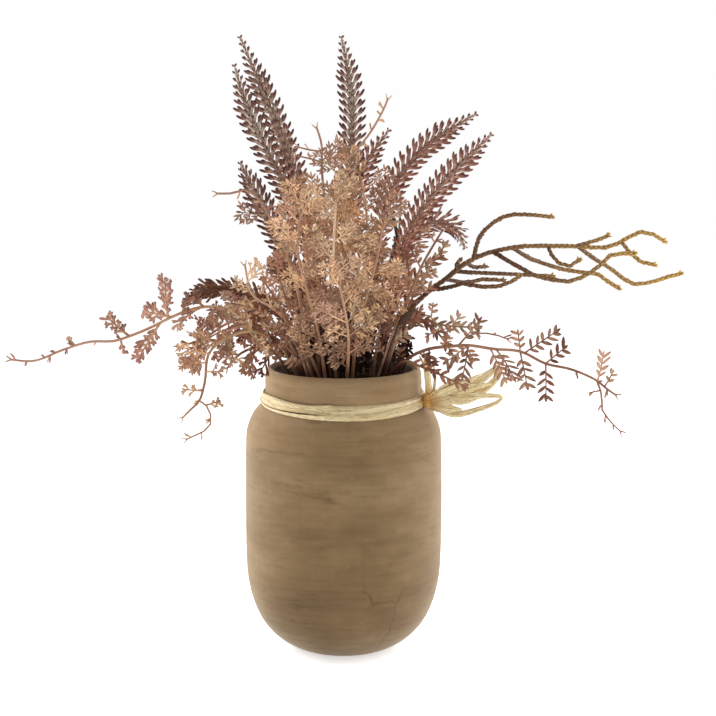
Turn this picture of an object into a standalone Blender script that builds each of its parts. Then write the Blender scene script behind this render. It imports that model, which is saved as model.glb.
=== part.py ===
"""A clay jar of dried flowers: a turned jar, a foam plug, a raffia tie, fern plumes, leaf sprays and a twig.

Lengths are in millimetres until a mesh is made, then metres. +Z is up, -Y is the front, and the origin is
the centre of the jar's flat base.
"""

import math
import random

import bpy
import numpy as np
from mathutils import Vector

MM = 0.001
GAP = 0.3
JAR_SIDES = 32
FOAM_SIDES = 24
FOAM_TOP = 155.5
FOOT_Z = 127.0
BLADE = 0.65

# Radius and height up the outside of the jar, over the lip and down the inside.
JAR_PROFILE = [
    (24, 0), (32, 3), (41.4, 10), (48.8, 20), (54.2, 36), (56, 54), (56, 122),
    (55, 129), (51.6, 137), (48.2, 140.7), (45.4, 142.6), (44.6, 145), (44.6, 159.5), (43.4, 162.6),
    (41.6, 163.4), (39.7, 161.5), (39.7, 142), (50.2, 127), (51, 54), (46, 26), (34, 11), (12, 6),
]
FOAM_PROFILE = [(12, 6.3), (30, 11.8), (39.3, 28), (39.3, FOAM_TOP)]
# The raffia band in section as radius and height: thin against the neck all round, and slipped down onto
# the shoulder at the front.
BAND_SIDE = [(45.0, 147.6), (46.0, 147.8), (46.7, 145.6), (47.2, 143.5), (46.4, 142.9), (45.3, 144.3)]
BAND_FRONT = [(45.0, 147.0), (46.4, 147.3), (47.6, 145.0), (50.1, 141.8), (49.2, 141.1), (45.9, 143.7)]

# Each fern plume: its route, and the share of its length where the needles start.
PLUMES = {
    "fern_plume_left_tall": ([(-13, 20, 165), (-13, 32, 191), (-18, 42, 225), (-26, 50, 256),
                              (-35, 55, 287), (-48, 58, 318), (-60, 58, 347)], 0.42),
    "fern_plume_left_second": ([(-13, -2, 164), (-16, 0, 201), (-22, 2, 235), (-31, 4, 261),
                                (-45, 6, 289), (-55, 6, 312), (-61, 6, 333)], 0.43),
    "fern_plume_left_low": ([(-19, 2, 164), (-21, 2, 190), (-25, 0, 210), (-32, -4, 229),
                             (-42, -8, 249), (-50, -12, 265), (-57, -14, 280)], 0.47),
    "fern_plume_centre": ([(0, 8, 164), (0, 14, 199), (1, 18, 233), (3, 22, 267), (5, 25, 296),
                           (4, 27, 319), (-1, 28, 348)], 0.50),
    "fern_plume_back_centre": ([(7, 22, 165), (2, 32, 197), (0, 38, 228), (4, 42, 251), (12, 44, 274),
                                (26, 45, 294)], 0.42),
    "fern_plume_right_upper": ([(15, 10, 165), (16, 16, 199), (20, 20, 227), (25, 22, 254),
                                (34, 22, 273), (51, 22, 290), (75, 20, 305)], 0.44),
    "fern_plume_right_lower": ([(20, 0, 164), (24, -4, 196), (29, -8, 221), (37, -11, 242),
                                (50, -13, 262), (66, -15, 280), (82, -16, 296)], 0.46),
    "fern_plume_right_arch": ([(23, 14, 165), (26, 24, 192), (31, 32, 216), (41, 36, 234),
                               (53, 38, 242), (65, 38, 238), (70, 36, 227)], 0.42),
    "fern_plume_left_arch": ([(-25, 8, 164), (-32, 18, 184), (-45, 28, 196), (-63, 34, 202),
                              (-79, 36, 202), (-93, 34, 195)], 0.40),
    "fern_plume_back_left": ([(-16, 18, 165), (-24, 34, 188), (-32, 50, 206), (-44, 66, 217)], 0.40),
}

# Each leafy spray: its main route from the mouth outwards, then its side branches.
SPRAYS = {
    "leaf_spray_left_long": [
        [(-20, -8, 165), (-30, -14, 179), (-43, -20, 190), (-58, -24, 197), (-71, -27, 201),
         (-80, -28, 201), (-90, -29, 198), (-97, -30, 195), (-109, -30, 189), (-119, -30, 185),
         (-129, -30, 182), (-141, -30, 182), (-157, -30, 177), (-172, -30, 171), (-186, -30, 172)]],
    "leaf_spray_left_droop": [
        [(-26, -14, 164), (-36, -26, 180), (-51, -38, 189), (-64, -44, 186), (-74, -47, 178),
         (-76, -48, 163), (-79, -49, 152), (-83, -49, 148), (-89, -49, 142)],
        [(-79, -49, 152), (-76, -49, 150), (-73, -49, 144), (-73, -49, 141), (-75, -49, 136),
         (-87, -49, 130)]],
    "leaf_spray_left_back": [
        [(-22, 12, 163), (-34, 24, 178), (-51, 32, 186), (-67, 36, 183), (-81, 38, 174), (-97, 38, 168)]],
    "leaf_spray_left_rim": [
        [(-31, -4, 164), (-40, -16, 175), (-49, -26, 178), (-58, -32, 175), (-65, -34, 167)]],
    "leaf_spray_right_inner": [
        [(16, 8, 164), (23, 16, 185), (31, 22, 203), (37, 26, 220), (36, 28, 233)]],
    "leaf_spray_right_up": [
        [(23, -12, 164), (31, -20, 187), (37, -26, 208), (43, -28, 223), (49, -28, 234), (55, -28, 244)]],
    "leaf_spray_right_long": [
        [(28, -6, 164), (37, -12, 170), (48, -18, 176), (60, -22, 178), (70, -24, 179), (85, -26, 177),
         (99, -27, 176), (113, -27, 169), (127, -27, 166), (141, -27, 160), (147, -27, 155),
         (153, -27, 151)],
        [(142, -27, 159), (145, -27, 150), (144, -27, 145), (149, -27, 137), (156, -27, 130)],
        [(58, -22, 178), (57, -24, 185), (54, -25, 189), (48, -26, 196), (43, -26, 197)],
        [(64, -23, 179), (70, -20, 184), (77, -18, 185), (85, -17, 184), (93, -16, 181)]],
    "tan_spray_left": [
        [(-14, -20, 164), (-24, -28, 185), (-39, -38, 202), (-50, -42, 210), (-54, -44, 227)]],
    "tan_spray_centre_tall": [
        [(-14, -16, 164), (-15, -20, 184), (-12, -22, 197), (-6, -22, 212), (-4, -22, 238),
         (-3, -20, 260), (-2, -18, 278), (6, -16, 286), (15, -14, 297), (22, -13, 309), (25, -12, 316)]],
    "tan_spray_top_left": [
        [(-4, -6, 164), (-5, -6, 196), (-8, -6, 225), (-10, -7, 253), (-12, -8, 276), (-12, -9, 290),
         (-15, -10, 300)],
        [(-12, -9, 286), (-18, -11, 287), (-26, -12, 289)],
        [(-11, -8, 280), (-18, -9, 282), (-27, -10, 284)]],
    "tan_spray_inner_left": [
        [(-10, -26, 163), (-14, -36, 189), (-20, -42, 213), (-25, -44, 235), (-23, -44, 256)]],
    "tan_spray_inner_right": [
        [(5, -22, 163), (8, -32, 189), (14, -38, 212), (19, -42, 232), (22, -44, 250)]],
    "tan_spray_upper_left": [
        [(-16, -18, 163), (-22, -28, 194), (-28, -32, 222), (-37, -34, 245), (-45, -34, 260),
         (-53, -34, 267), (-61, -34, 265), (-70, -34, 265)]],
    "tan_spray_front": [
        [(2, -30, 163), (3, -44, 185), (1, -54, 203), (-2, -60, 219)]],
}

# Leaves set one by one: foot near the stem, tip, and pairs of lobes.
LEAVES = {
    "leaf_spray_left_long": [
        ((-97, -30, 195), (-98, -36, 218), 4), ((-99, -30, 203), (-115, -26, 206), 3),
        ((-102, -30, 193), (-115, -38, 172), 4), ((-119, -30, 185), (-132, -26, 196), 2),
        ((-124, -30, 183), (-121, -33, 175), 1), ((-71, -27, 201), (-76, -37, 187), 3),
        ((-80, -28, 201), (-93, -40, 192), 3), ((-58, -24, 197), (-65, -34, 211), 3),
        ((-43, -20, 190), (-51, -28, 205), 3), ((-90, -29, 198), (-85, -35, 208), 2),
        ((-149, -30, 179), (-153, -27, 184), 1)],
    "leaf_spray_left_droop": [
        ((-64, -44, 186), (-71, -50, 198), 3), ((-64, -44, 186), (-59, -54, 174), 3),
        ((-74, -47, 178), (-92, -55, 184), 3), ((-76, -48, 168), (-66, -53, 169), 2),
        ((-77, -48, 157), (-88, -54, 159), 2), ((-76, -49, 149), (-68, -52, 152), 2),
        ((-51, -38, 189), (-56, -48, 201), 3), ((-51, -38, 189), (-41, -50, 181), 3),
        ((-75, -47, 173), (-90, -41, 172), 3)],
    "leaf_spray_left_back": [
        ((-51, 32, 186), (-59, 40, 199), 3), ((-51, 32, 186), (-48, 40, 171), 3),
        ((-67, 36, 183), (-77, 44, 193), 3), ((-67, 36, 183), (-66, 46, 165), 3),
        ((-81, 38, 174), (-84, 44, 185), 3), ((-81, 38, 174), (-88, 44, 159), 3)],
    "leaf_spray_left_rim": [
        ((-40, -16, 175), (-47, -24, 163), 3), ((-49, -26, 178), (-53, -34, 191), 3),
        ((-49, -26, 178), (-52, -32, 163), 2), ((-58, -32, 175), (-69, -38, 179), 3)],
    "leaf_spray_right_inner": [
        ((23, 16, 185), (16, 22, 198), 3), ((31, 22, 203), (24, 30, 216), 3),
        ((31, 22, 203), (44, 30, 213), 3), ((37, 26, 220), (30, 32, 232), 3),
        ((37, 26, 220), (47, 34, 226), 3)],
    "leaf_spray_right_up": [
        ((37, -26, 208), (32, -32, 223), 3), ((43, -28, 223), (36, -34, 237), 3),
        ((43, -28, 223), (56, -32, 231), 3), ((37, -26, 208), (50, -32, 214), 3),
        ((31, -20, 187), (43, -28, 198), 2), ((51, -28, 237), (45, -31, 246), 2)],
    "leaf_spray_right_long": [
        ((99, -27, 176), (97, -31, 190), 3), ((101, -27, 176), (121, -33, 191), 4),
        ((113, -27, 169), (125, -31, 180), 2), ((99, -27, 176), (103, -35, 156), 3),
        ((113, -27, 169), (113, -32, 148), 3), ((142, -27, 159), (145, -30, 177), 3),
        ((146, -27, 156), (151, -29, 166), 1), ((144, -27, 154), (137, -29, 153), 1),
        ((85, -26, 177), (96, -34, 159), 3), ((82, -26, 178), (86, -19, 157), 3),
        ((70, -24, 179), (66, -30, 160), 3), ((70, -24, 179), (55, -36, 170), 3),
        ((48, -18, 176), (49, -26, 163), 2), ((57, -24, 185), (66, -28, 198), 3),
        ((54, -25, 189), (45, -28, 184), 2), ((49, -26, 195), (50, -28, 204), 1),
        ((66, -22, 181), (77, -26, 196), 2)],
    "tan_spray_left": [
        ((-50, -42, 210), (-61, -47, 216), 3), ((-52, -43, 220), (-46, -47, 229), 2),
        ((-39, -38, 202), (-44, -44, 217), 3), ((-39, -38, 202), (-29, -46, 213), 3),
        ((-24, -28, 185), (-35, -36, 195), 3)],
}

# The sprays whose leaves have blunt lobes; the others have pointed ones.
BLUNT = ("leaf_spray_left_long", "leaf_spray_left_droop", "leaf_spray_right_long")

# Sprays whose leaves follow a rule: the shares of the stem where they start and end, how many, how long.
LEAF_RULES = {
    "tan_spray_centre_tall": (0.22, 0.70, 7, 20),
    "tan_spray_top_left": (0.36, 0.84, 6, 19),
    "tan_spray_inner_left": (0.30, 0.97, 6, 21),
    "tan_spray_inner_right": (0.30, 0.97, 6, 21),
    "tan_spray_upper_left": (0.34, 0.74, 5, 17),
    "tan_spray_front": (0.35, 0.97, 5, 20),
}

# The twig's branches, with the radius at the start and at the tip.
TWIG = [
    ([(26, 4, 164), (30, 6, 183), (33, 8, 192), (41, 8, 198), (49, 8, 206), (58, 8, 212), (66, 8, 219),
      (74, 8, 224), (85, 8, 228), (102, 8, 231), (119, 8, 231), (132, 8, 231), (146, 8, 230),
      (153, 8, 231), (160, 8, 235), (167, 8, 239), (173, 8, 239), (182, 8, 234)], 2.0, 1.0),
    ([(74, 8, 224), (76, 2, 235), (81, -4, 243), (91, -9, 250), (103, -12, 251), (116, -14, 250)], 1.3, 0.9),
    ([(132, 8, 231), (143, 2, 235), (149, -2, 238)], 1.1, 0.9),
    ([(85, 8, 228), (92, 2, 224), (100, -3, 220), (108, -7, 216), (118, -9, 214), (126, -10, 213),
      (135, -10, 216), (144, -10, 222), (150, -10, 228), (157, -10, 229), (163, -10, 229)], 1.3, 1.0),
    ([(96, 8, 230), (105, 14, 224), (114, 19, 220), (126, 22, 216), (138, 24, 214), (146, 24, 213),
      (153, 24, 208), (158, 24, 205)], 1.3, 1.0),
    ([(116, 8, 231), (119, 3, 225), (124, 0, 221), (129, -1, 221), (133, -1, 224)], 1.1, 0.9),
    ([(133, 8, 231), (142, 12, 224), (150, 16, 219), (158, 18, 213), (163, 18, 209), (168, 18, 208),
      (176, 18, 209), (185, 18, 212), (193, 18, 214)], 1.3, 1.0),
    ([(158, 8, 233), (166, 4, 224), (176, 2, 221)], 1.1, 0.9),
    ([(63, 8, 217), (78, 14, 215), (91, 18, 214), (103, 21, 213), (120, 23, 212)], 1.2, 0.9),
    ([(50, 8, 206), (59, 2, 208), (67, -3, 211), (76, -7, 210), (85, -9, 210), (92, -11, 212),
      (99, -11, 216)], 1.2, 0.9),
    ([(58, 8, 212), (70, 18, 209), (80, 24, 210), (92, 27, 209)], 1.2, 0.9),
    ([(64, 8, 218), (64, 3, 221), (66, 0, 224)], 1.1, 0.9),
    ([(70, 8, 221), (75, 15, 218), (81, 19, 218)], 1.1, 0.9),
]

GREEN = {
    "green_stem_dark": ([[(12, 26, 164), (20, 32, 197), (27, 34, 219), (31, 34, 235), (28, 34, 247),
                          (24, 32, 255)],
                         [(30, 34, 238), (26, 33, 244), (21, 31, 247)]], 1.3),
    "green_stem_light": ([[(18, 24, 164), (26, 28, 197), (31, 29, 223), (32, 29, 241), (33, 29, 257)]], 0.9),
}

# Flat raffia strips of the bow: route, and widths along it.
KNOT = (47.3, -13.1, 145.8)
BOW = [
    ([(47.3, -13.3, 145.6), (48.0, -14.3, 153), (47.5, -14, 160), (46.8, -13, 168), (45, -12, 174)],
     [3.0, 3.4, 3.6, 3.0, 1.2]),
    ([(48, -13.6, 146), (50.8, -15.6, 152), (51.5, -17, 160), (51, -17, 166)], [1.6, 1.8, 1.6, 1.0]),
    ([(47.6, -13.2, 145.6), (59, -17, 149), (70, -19, 154), (79, -20, 160), (86, -19, 165), (88, -17, 164),
      (84, -14, 156), (74, -12, 149), (61, -12.5, 145.4), (47.8, -13, 145)],
     [3.6, 4.2, 4.6, 4.4, 3.0, 3.0, 3.8, 3.6, 3.0, 2.4]),
    ([(47.6, -13.5, 145.6), (62, -19, 148.5), (74, -22, 150), (84, -22, 150), (89, -20, 149), (86, -17, 145),
      (76, -15, 141), (65, -14, 138), (57.5, -14, 139.4), (48.3, -13.3, 144.6)],
     [3.0, 3.6, 3.4, 2.8, 1.8, 1.8, 2.4, 3.0, 3.4, 3.0]),
    ([(47.8, -13.8, 146), (55.5, -20, 153), (61, -23, 158), (66, -25, 163)], [3.4, 4.2, 3.6, 1.4]),
    ([(47.6, -13.8, 145.6), (60, -22, 147.5), (69, -27, 148), (77, -30, 151)], [3.6, 4.4, 3.6, 1.4]),
]

COLOURS = {
    "jar": ((0.26, 0.16, 0.08), 0.85),
    "foam_block": ((0.03, 0.02, 0.012), 0.95),
    "raffia_tie": ((0.62, 0.48, 0.26), 0.7),
    "twig_branch": ((0.23, 0.13, 0.045), 0.7),
    "green_stem_dark": ((0.03, 0.06, 0.03), 0.6),
    "green_stem_light": ((0.22, 0.30, 0.12), 0.6),
    "fern_plume": ((0.17, 0.095, 0.08), 0.6),
    "leaf_spray": ((0.30, 0.14, 0.085), 0.6),
    "tan_spray": ((0.50, 0.30, 0.17), 0.65),
}


def clear_scene():
    for ob in list(bpy.data.objects):
        bpy.data.objects.remove(ob, do_unlink=True)


def material_for(name):
    key = name if name in COLOURS else "_".join(name.split("_")[:2])
    colour, roughness = COLOURS[key]
    mat = bpy.data.materials.new(name)
    mat.use_nodes = True
    bsdf = mat.node_tree.nodes["Principled BSDF"]
    bsdf.inputs["Base Color"].default_value = (*colour, 1.0)
    bsdf.inputs["Roughness"].default_value = roughness
    bsdf.inputs["Metallic"].default_value = 0.0
    mat.diffuse_color = (*colour, 1.0)
    return mat


def make_object(name, shape):
    verts, faces = shape
    mesh = bpy.data.meshes.new(name)
    mesh.from_pydata([(x * MM, y * MM, z * MM) for x, y, z in verts], [], faces)
    mesh.validate()
    ob = bpy.data.objects.new(name, mesh)
    bpy.context.scene.collection.objects.link(ob)
    return ob


def finish(ob):
    ob.data.materials.clear()
    ob.data.materials.append(material_for(ob.name))
    return ob


def boolean(target, tools, operation, solver):
    """Joins the tools to the target, or cuts them from it, and removes them."""
    group = bpy.data.collections.new(target.name + "_parts")
    for tool in tools:
        bpy.context.scene.collection.objects.unlink(tool)
        group.objects.link(tool)
    mod = target.modifiers.new("join", "BOOLEAN")
    mod.operation = operation
    mod.operand_type = "COLLECTION"
    mod.collection = group
    mod.solver = solver
    graph = bpy.context.evaluated_depsgraph_get()
    result = bpy.data.meshes.new_from_object(target.evaluated_get(graph), depsgraph=graph)
    target.modifiers.clear()
    target.data = result
    for tool in tools:
        bpy.data.objects.remove(tool, do_unlink=True)
    bpy.data.collections.remove(group)
    return target


def lathe(profile, sides):
    """A closed turned solid: a profile starting and ending with flat discs, or closed on itself."""
    verts = []
    faces = []
    for r, z in profile:
        for i in range(sides):
            a = 2 * math.pi * i / sides
            verts.append((r * math.cos(a), r * math.sin(a), z))
    for k in range(len(profile) - 1):
        for i in range(sides):
            j = (i + 1) % sides
            faces.append((k * sides + i, k * sides + j, (k + 1) * sides + j, (k + 1) * sides + i))
    faces.append(tuple(reversed(range(sides))))
    top = (len(profile) - 1) * sides
    faces.append(tuple(range(top, top + sides)))
    return verts, faces


def smooth_line(points, step):
    """A smooth line through the points, as evenly spaced vectors about one step apart."""
    pts = [Vector(p) for p in points]
    ends = [pts[0] * 2 - pts[1]] + pts + [pts[-1] * 2 - pts[-2]]
    dense = []
    for i in range(1, len(ends) - 2):
        p0, p1, p2, p3 = ends[i - 1:i + 3]
        for k in range(12):
            t = k / 12
            dense.append(0.5 * (2 * p1 + (p2 - p0) * t + (2 * p0 - 5 * p1 + 4 * p2 - p3) * t ** 2
                                + (3 * p1 - p0 - 3 * p2 + p3) * t ** 3))
    dense.append(pts[-1])
    return spaced(dense, step)


def spaced(line, step):
    lengths = [0.0]
    for a, b in zip(line, line[1:]):
        lengths.append(lengths[-1] + (b - a).length)
    count = max(2, round(lengths[-1] / step) + 1)
    return [at_length(line, lengths, lengths[-1] * k / (count - 1)) for k in range(count)]


def at_length(line, lengths, s):
    for i in range(1, len(line)):
        if s <= lengths[i] or i == len(line) - 1:
            t = (s - lengths[i - 1]) / max(1e-9, lengths[i] - lengths[i - 1])
            return line[i - 1].lerp(line[i], min(1.0, max(0.0, t)))


def frames(line):
    """The direction and two steady side directions at each point of a line."""
    out = []
    side = None
    for i in range(len(line)):
        t = (line[min(i + 1, len(line) - 1)] - line[max(i - 1, 0)]).normalized()
        if side is None:
            side = t.orthogonal()
        side = (side - t * side.dot(t)).normalized()
        out.append((t, side.copy(), t.cross(side)))
    return out


def tube(line, radii, sides, turn=0.0):
    """A closed round bar along a line, with a radius at each point."""
    verts = []
    faces = []
    for p, r, (t, u, v) in zip(line, radii, frames(line)):
        for i in range(sides):
            a = 2 * math.pi * i / sides + turn
            verts.append(p + u * (r * math.cos(a)) + v * (r * math.sin(a)))
    for k in range(len(line) - 1):
        for i in range(sides):
            j = (i + 1) % sides
            faces.append((k * sides + i, k * sides + j, (k + 1) * sides + j, (k + 1) * sides + i))
    last = (len(line) - 1) * sides
    faces.append(tuple(reversed(range(sides))))
    faces.append(tuple(range(last, last + sides)))
    return verts, faces


class Room:
    """What space is taken: round-ended rods, each owned by one piece."""

    def __init__(self):
        self.a = np.zeros((0, 3))
        self.b = np.zeros((0, 3))
        self.r = np.zeros(0)
        self.owner = np.zeros(0, dtype=int)
        self.names = []

    def number(self, name):
        if name not in self.names:
            self.names.append(name)
        return self.names.index(name)

    def add(self, name, rods):
        if not rods:
            return
        self.a = np.vstack([self.a, [tuple(p) for p, q, r in rods]])
        self.b = np.vstack([self.b, [tuple(q) for p, q, r in rods]])
        self.r = np.append(self.r, [r for p, q, r in rods])
        self.owner = np.append(self.owner, [self.number(name)] * len(rods))

    def free(self, name, rods):
        """True if the rods keep clear of every other piece, of the jar and of the foam."""
        others = self.owner != self.number(name)
        a = self.a[others]
        d = self.b[others] - a
        dd = np.maximum((d * d).sum(axis=1), 1e-9)
        r = self.r[others]
        for p, q, radius in rods:
            p = np.array(tuple(p))
            q = np.array(tuple(q))
            count = max(2, int(np.linalg.norm(q - p) / 1.2) + 1)
            for k in range(count + 1):
                s = p + (q - p) * k / count
                if not clear_of_jar(s, radius):
                    return False
                w = s - a
                t = np.clip((w * d).sum(axis=1) / dd, 0, 1)
                gap = np.linalg.norm(w - d * t[:, None], axis=1) - r
                if gap.min() < radius + GAP:
                    return False
        return True


def clear_of_jar(p, radius):
    flat = math.hypot(p[0], p[1])
    room = radius + 0.6
    if p[2] > 163.4 + room:
        return True
    if flat < 39.3 - room and p[2] > FOAM_TOP + room:
        return True
    if p[2] > 142:
        return flat > 44.8 + room
    if p[2] > 122:
        return flat > 56.2 - 11.0 * max(0.0, (p[2] - 132) / 10.0) + room + 1.0
    return flat > 56.2 + room


def bar_rods(line, radius):
    return [(a, b, radius) for a, b in zip(line, line[1:])]


def spread_feet(feet):
    """Moves the stems' feet apart until neighbours have foam between them."""
    pts = [Vector((x, y, 0)) for x, y in feet]
    for _ in range(200):
        for i in range(len(pts)):
            for j in range(i):
                d = pts[i] - pts[j]
                if d.length < 5.2:
                    push = d.normalized() * (5.2 - d.length) * 0.5
                    pts[i] += push
                    pts[j] -= push
        for p in pts:
            if p.length > 34.5:
                p *= 34.5 / p.length
    return [(p.x, p.y) for p in pts]


def part_stems(lines, roots, reach):
    """Eases the stems' lines apart where two pass too close, keeping their feet."""
    count = 44
    pts = np.array([[tuple(v) for v in even(line, count)] for line in lines])
    n = len(pts)
    grip = np.linspace(0, 1, count)
    hold = np.clip(grip * 6.0, 0, 1)
    kernel = np.array([0.05, 0.12, 0.2, 0.26, 0.2, 0.12, 0.05])
    for _ in range(70):
        flat = pts.reshape(-1, 3)
        move = np.zeros_like(flat)
        ids = np.repeat(np.arange(n), count)
        along = np.tile(grip, n)
        need = reach[ids] * np.clip(0.35 + along, 0, 1)
        for i in range(n):
            mine = pts[i]
            others = ids != i
            rest = flat[others]
            d = mine[:, None, :] - rest[None, :, :]
            dist = np.linalg.norm(d, axis=2)
            want = np.minimum(need[ids == i][:, None], need[others][None, :] + 1.5) + roots[i] + 1.0
            short = np.clip(want - dist, 0, None)
            d[:, :, 1] *= 1.6
            unit = d / np.maximum(np.linalg.norm(d, axis=2), 1e-6)[:, :, None]
            worst = short.argmax(axis=1)
            rows = np.arange(count)
            step = unit[rows, worst] * short[rows, worst][:, None] * 0.35
            step *= hold[:, None]
            for axis in range(3):
                step[:, axis] = np.convolve(step[:, axis], kernel, mode="same")
            move[ids == i] = step
        pts = (flat + move).reshape(n, count, 3)
        for i in range(n):
            for k in range(count):
                x, y, z = pts[i, k]
                flat_r = math.hypot(x, y)
                if z < 167 and flat_r < 44.6 and flat_r > 36.5:
                    pts[i, k, 0] *= 36.5 / flat_r
                    pts[i, k, 1] *= 36.5 / flat_r
    return [[Vector(p) for p in line] for line in pts]


def even(line, count):
    lengths = [0.0]
    for a, b in zip(line, line[1:]):
        lengths.append(lengths[-1] + (b - a).length)
    return [at_length(line, lengths, lengths[-1] * k / (count - 1)) for k in range(count)]


def lay_stems():
    """Every stem's line from the foam up, in one order, each starting straight up out of its hole."""
    names = list(PLUMES) + list(SPRAYS) + ["twig_branch"] + list(GREEN)
    routes = [PLUMES[n][0] for n in PLUMES] + [SPRAYS[n][0] for n in SPRAYS]
    routes += [TWIG[0][0]] + [GREEN[n][0][0] for n in GREEN]
    radii = [1.15] * len(PLUMES) + [1.0] * len(SPRAYS) + [2.0, 1.3, 0.9]
    reach = [5.0] * len(PLUMES) + [2.2] * len(SPRAYS) + [2.2, 2.2, 2.2]
    feet = spread_feet([(r[0][0], r[0][1]) for r in routes])
    lines = []
    for (x, y), route in zip(feet, routes):
        start = [(x, y, FOAM_TOP + 0.5), (x, y, FOAM_TOP + 4.5)]
        lines.append(smooth_line(start + route[1:], 2.0))
    lines = part_stems(lines, np.array(radii), np.array(reach))
    stems = {}
    for name, (x, y), line, radius in zip(names, feet, lines, radii):
        line[0] = Vector((x, y, FOAM_TOP + 0.5))
        stems[name] = ((x, y), spaced(line, 2.0), radius)
    return stems


def with_foot(foot, line, step):
    """A stem's line thinned to the step, with its straight foot in the foam added."""
    x, y = foot
    return [Vector((x, y, FOOT_Z)), Vector((x, y, FOAM_TOP))] + spaced(line, step)[1:]


def needle_size(share):
    """A needle's length by its share of the way up the needled part: longest low down, fine at the tip."""
    return 9.8 * min(1.0, 0.66 + 2.4 * share, 0.20 + 2.8 * (1.0 - share))


def plume_shape(name, foot, line, start, room, seed):
    """A fern plume: a three-sided stem whose rings put out three blunt needles each, turn and turn about."""
    rng = random.Random(seed)
    sides = 3
    ring = 4.5
    lengths = [0.0]
    for a, b in zip(line, line[1:]):
        lengths.append(lengths[-1] + (b - a).length)
    total = lengths[-1]
    marks = [(-1.0, False)]
    s = total * start
    bare = max(2, round(s / 14.0))
    marks += [(s * k / bare, False) for k in range(bare)]
    rings = round((total - s) / ring)
    marks += [(s + (total - s) * k / rings, True) for k in range(rings)]
    marks.append((total, False))
    x, y = foot
    path = [Vector((x, y, FOOT_Z)), Vector((x, y, FOAM_TOP))]
    path += [at_length(line, lengths, m) for m, _ in marks[2:]]
    flags = [f for _, f in marks]
    radii = [1.15, 1.15]
    for m, _ in marks[2:]:
        share = m / total
        radii.append(1.15 - 0.35 * share if m < total - 0.5 else 0.45)
    verts = []
    steady = frames(path)
    turn = 0.0
    rings = []
    for k, (p, r, (t, u, v)) in enumerate(zip(path, radii, steady)):
        if k > 1:
            turn += math.pi / 3
        ids = []
        for i in range(sides):
            a = 2 * math.pi * i / sides + turn
            ids.append(len(verts))
            verts.append(p + u * (r * math.cos(a)) + v * (r * math.sin(a)))
        rings.append(ids)
    faces = [tuple(reversed(rings[0]))]
    for i in range(sides):
        j = (i + 1) % sides
        faces.append((rings[0][i], rings[0][j], rings[1][j], rings[1][i]))
    for k in range(1, len(path) - 1):
        low = rings[k]
        high = rings[k + 1]
        for i in range(sides):
            j = (i + 1) % sides
            both = [(low[i], low[j], high[i]), (low[j], high[j], high[i])]
            for tri in both:
                if flags[k] and tri is both[0]:
                    share = (marks[k][0] / total - start) / (1 - start)
                    size = needle_size(share) * rng.uniform(0.94, 1.04)
                    grown = needle(name, verts, faces, tri, path[k].lerp(path[k + 1], 0.5),
                                   steady[k][0], size, share, room, rng)
                    if grown:
                        continue
                faces.append(tri)
    faces.append(tuple(rings[-1]))
    return verts, faces


def needle(name, verts, faces, tri, centre, along, size, share, room, rng):
    """Grows one needle out of a triangle of the stem, if there is room for it."""
    base = [verts[i] for i in tri]
    middle = (base[0] + base[1] + base[2]) / 3
    out = middle - centre
    out = (out - along * out.dot(along)).normalized()
    lift = 0.62 + 0.55 * share ** 4 + rng.uniform(-0.08, 0.08)
    for scale in (1.0, 0.75, 0.5):
        heading = (out * math.cos(lift) + along * math.sin(lift)).normalized()
        tip = middle + heading * size * scale
        if room.free(name, [(middle + heading * 1.2, tip, 0.85)]):
            break
    else:
        return False
    across = along.cross(out).normalized()
    thick = heading.cross(across).normalized()
    if thick.dot(along) < 0:
        thick = -thick
    upper = len(verts)
    verts.append(tip + thick * 0.8)
    lower = len(verts)
    verts.append(tip - thick * 0.8 - heading * 0.6)
    ends = [upper if (b - middle).dot(along) > 0 else lower for b in base]
    for i in range(3):
        j = (i + 1) % 3
        if ends[i] == ends[j]:
            faces.append((tri[i], tri[j], ends[i]))
        else:
            faces.append((tri[i], tri[j], ends[j], ends[i]))
    room.add(name, [(middle, tip, 0.8)])
    return True


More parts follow.
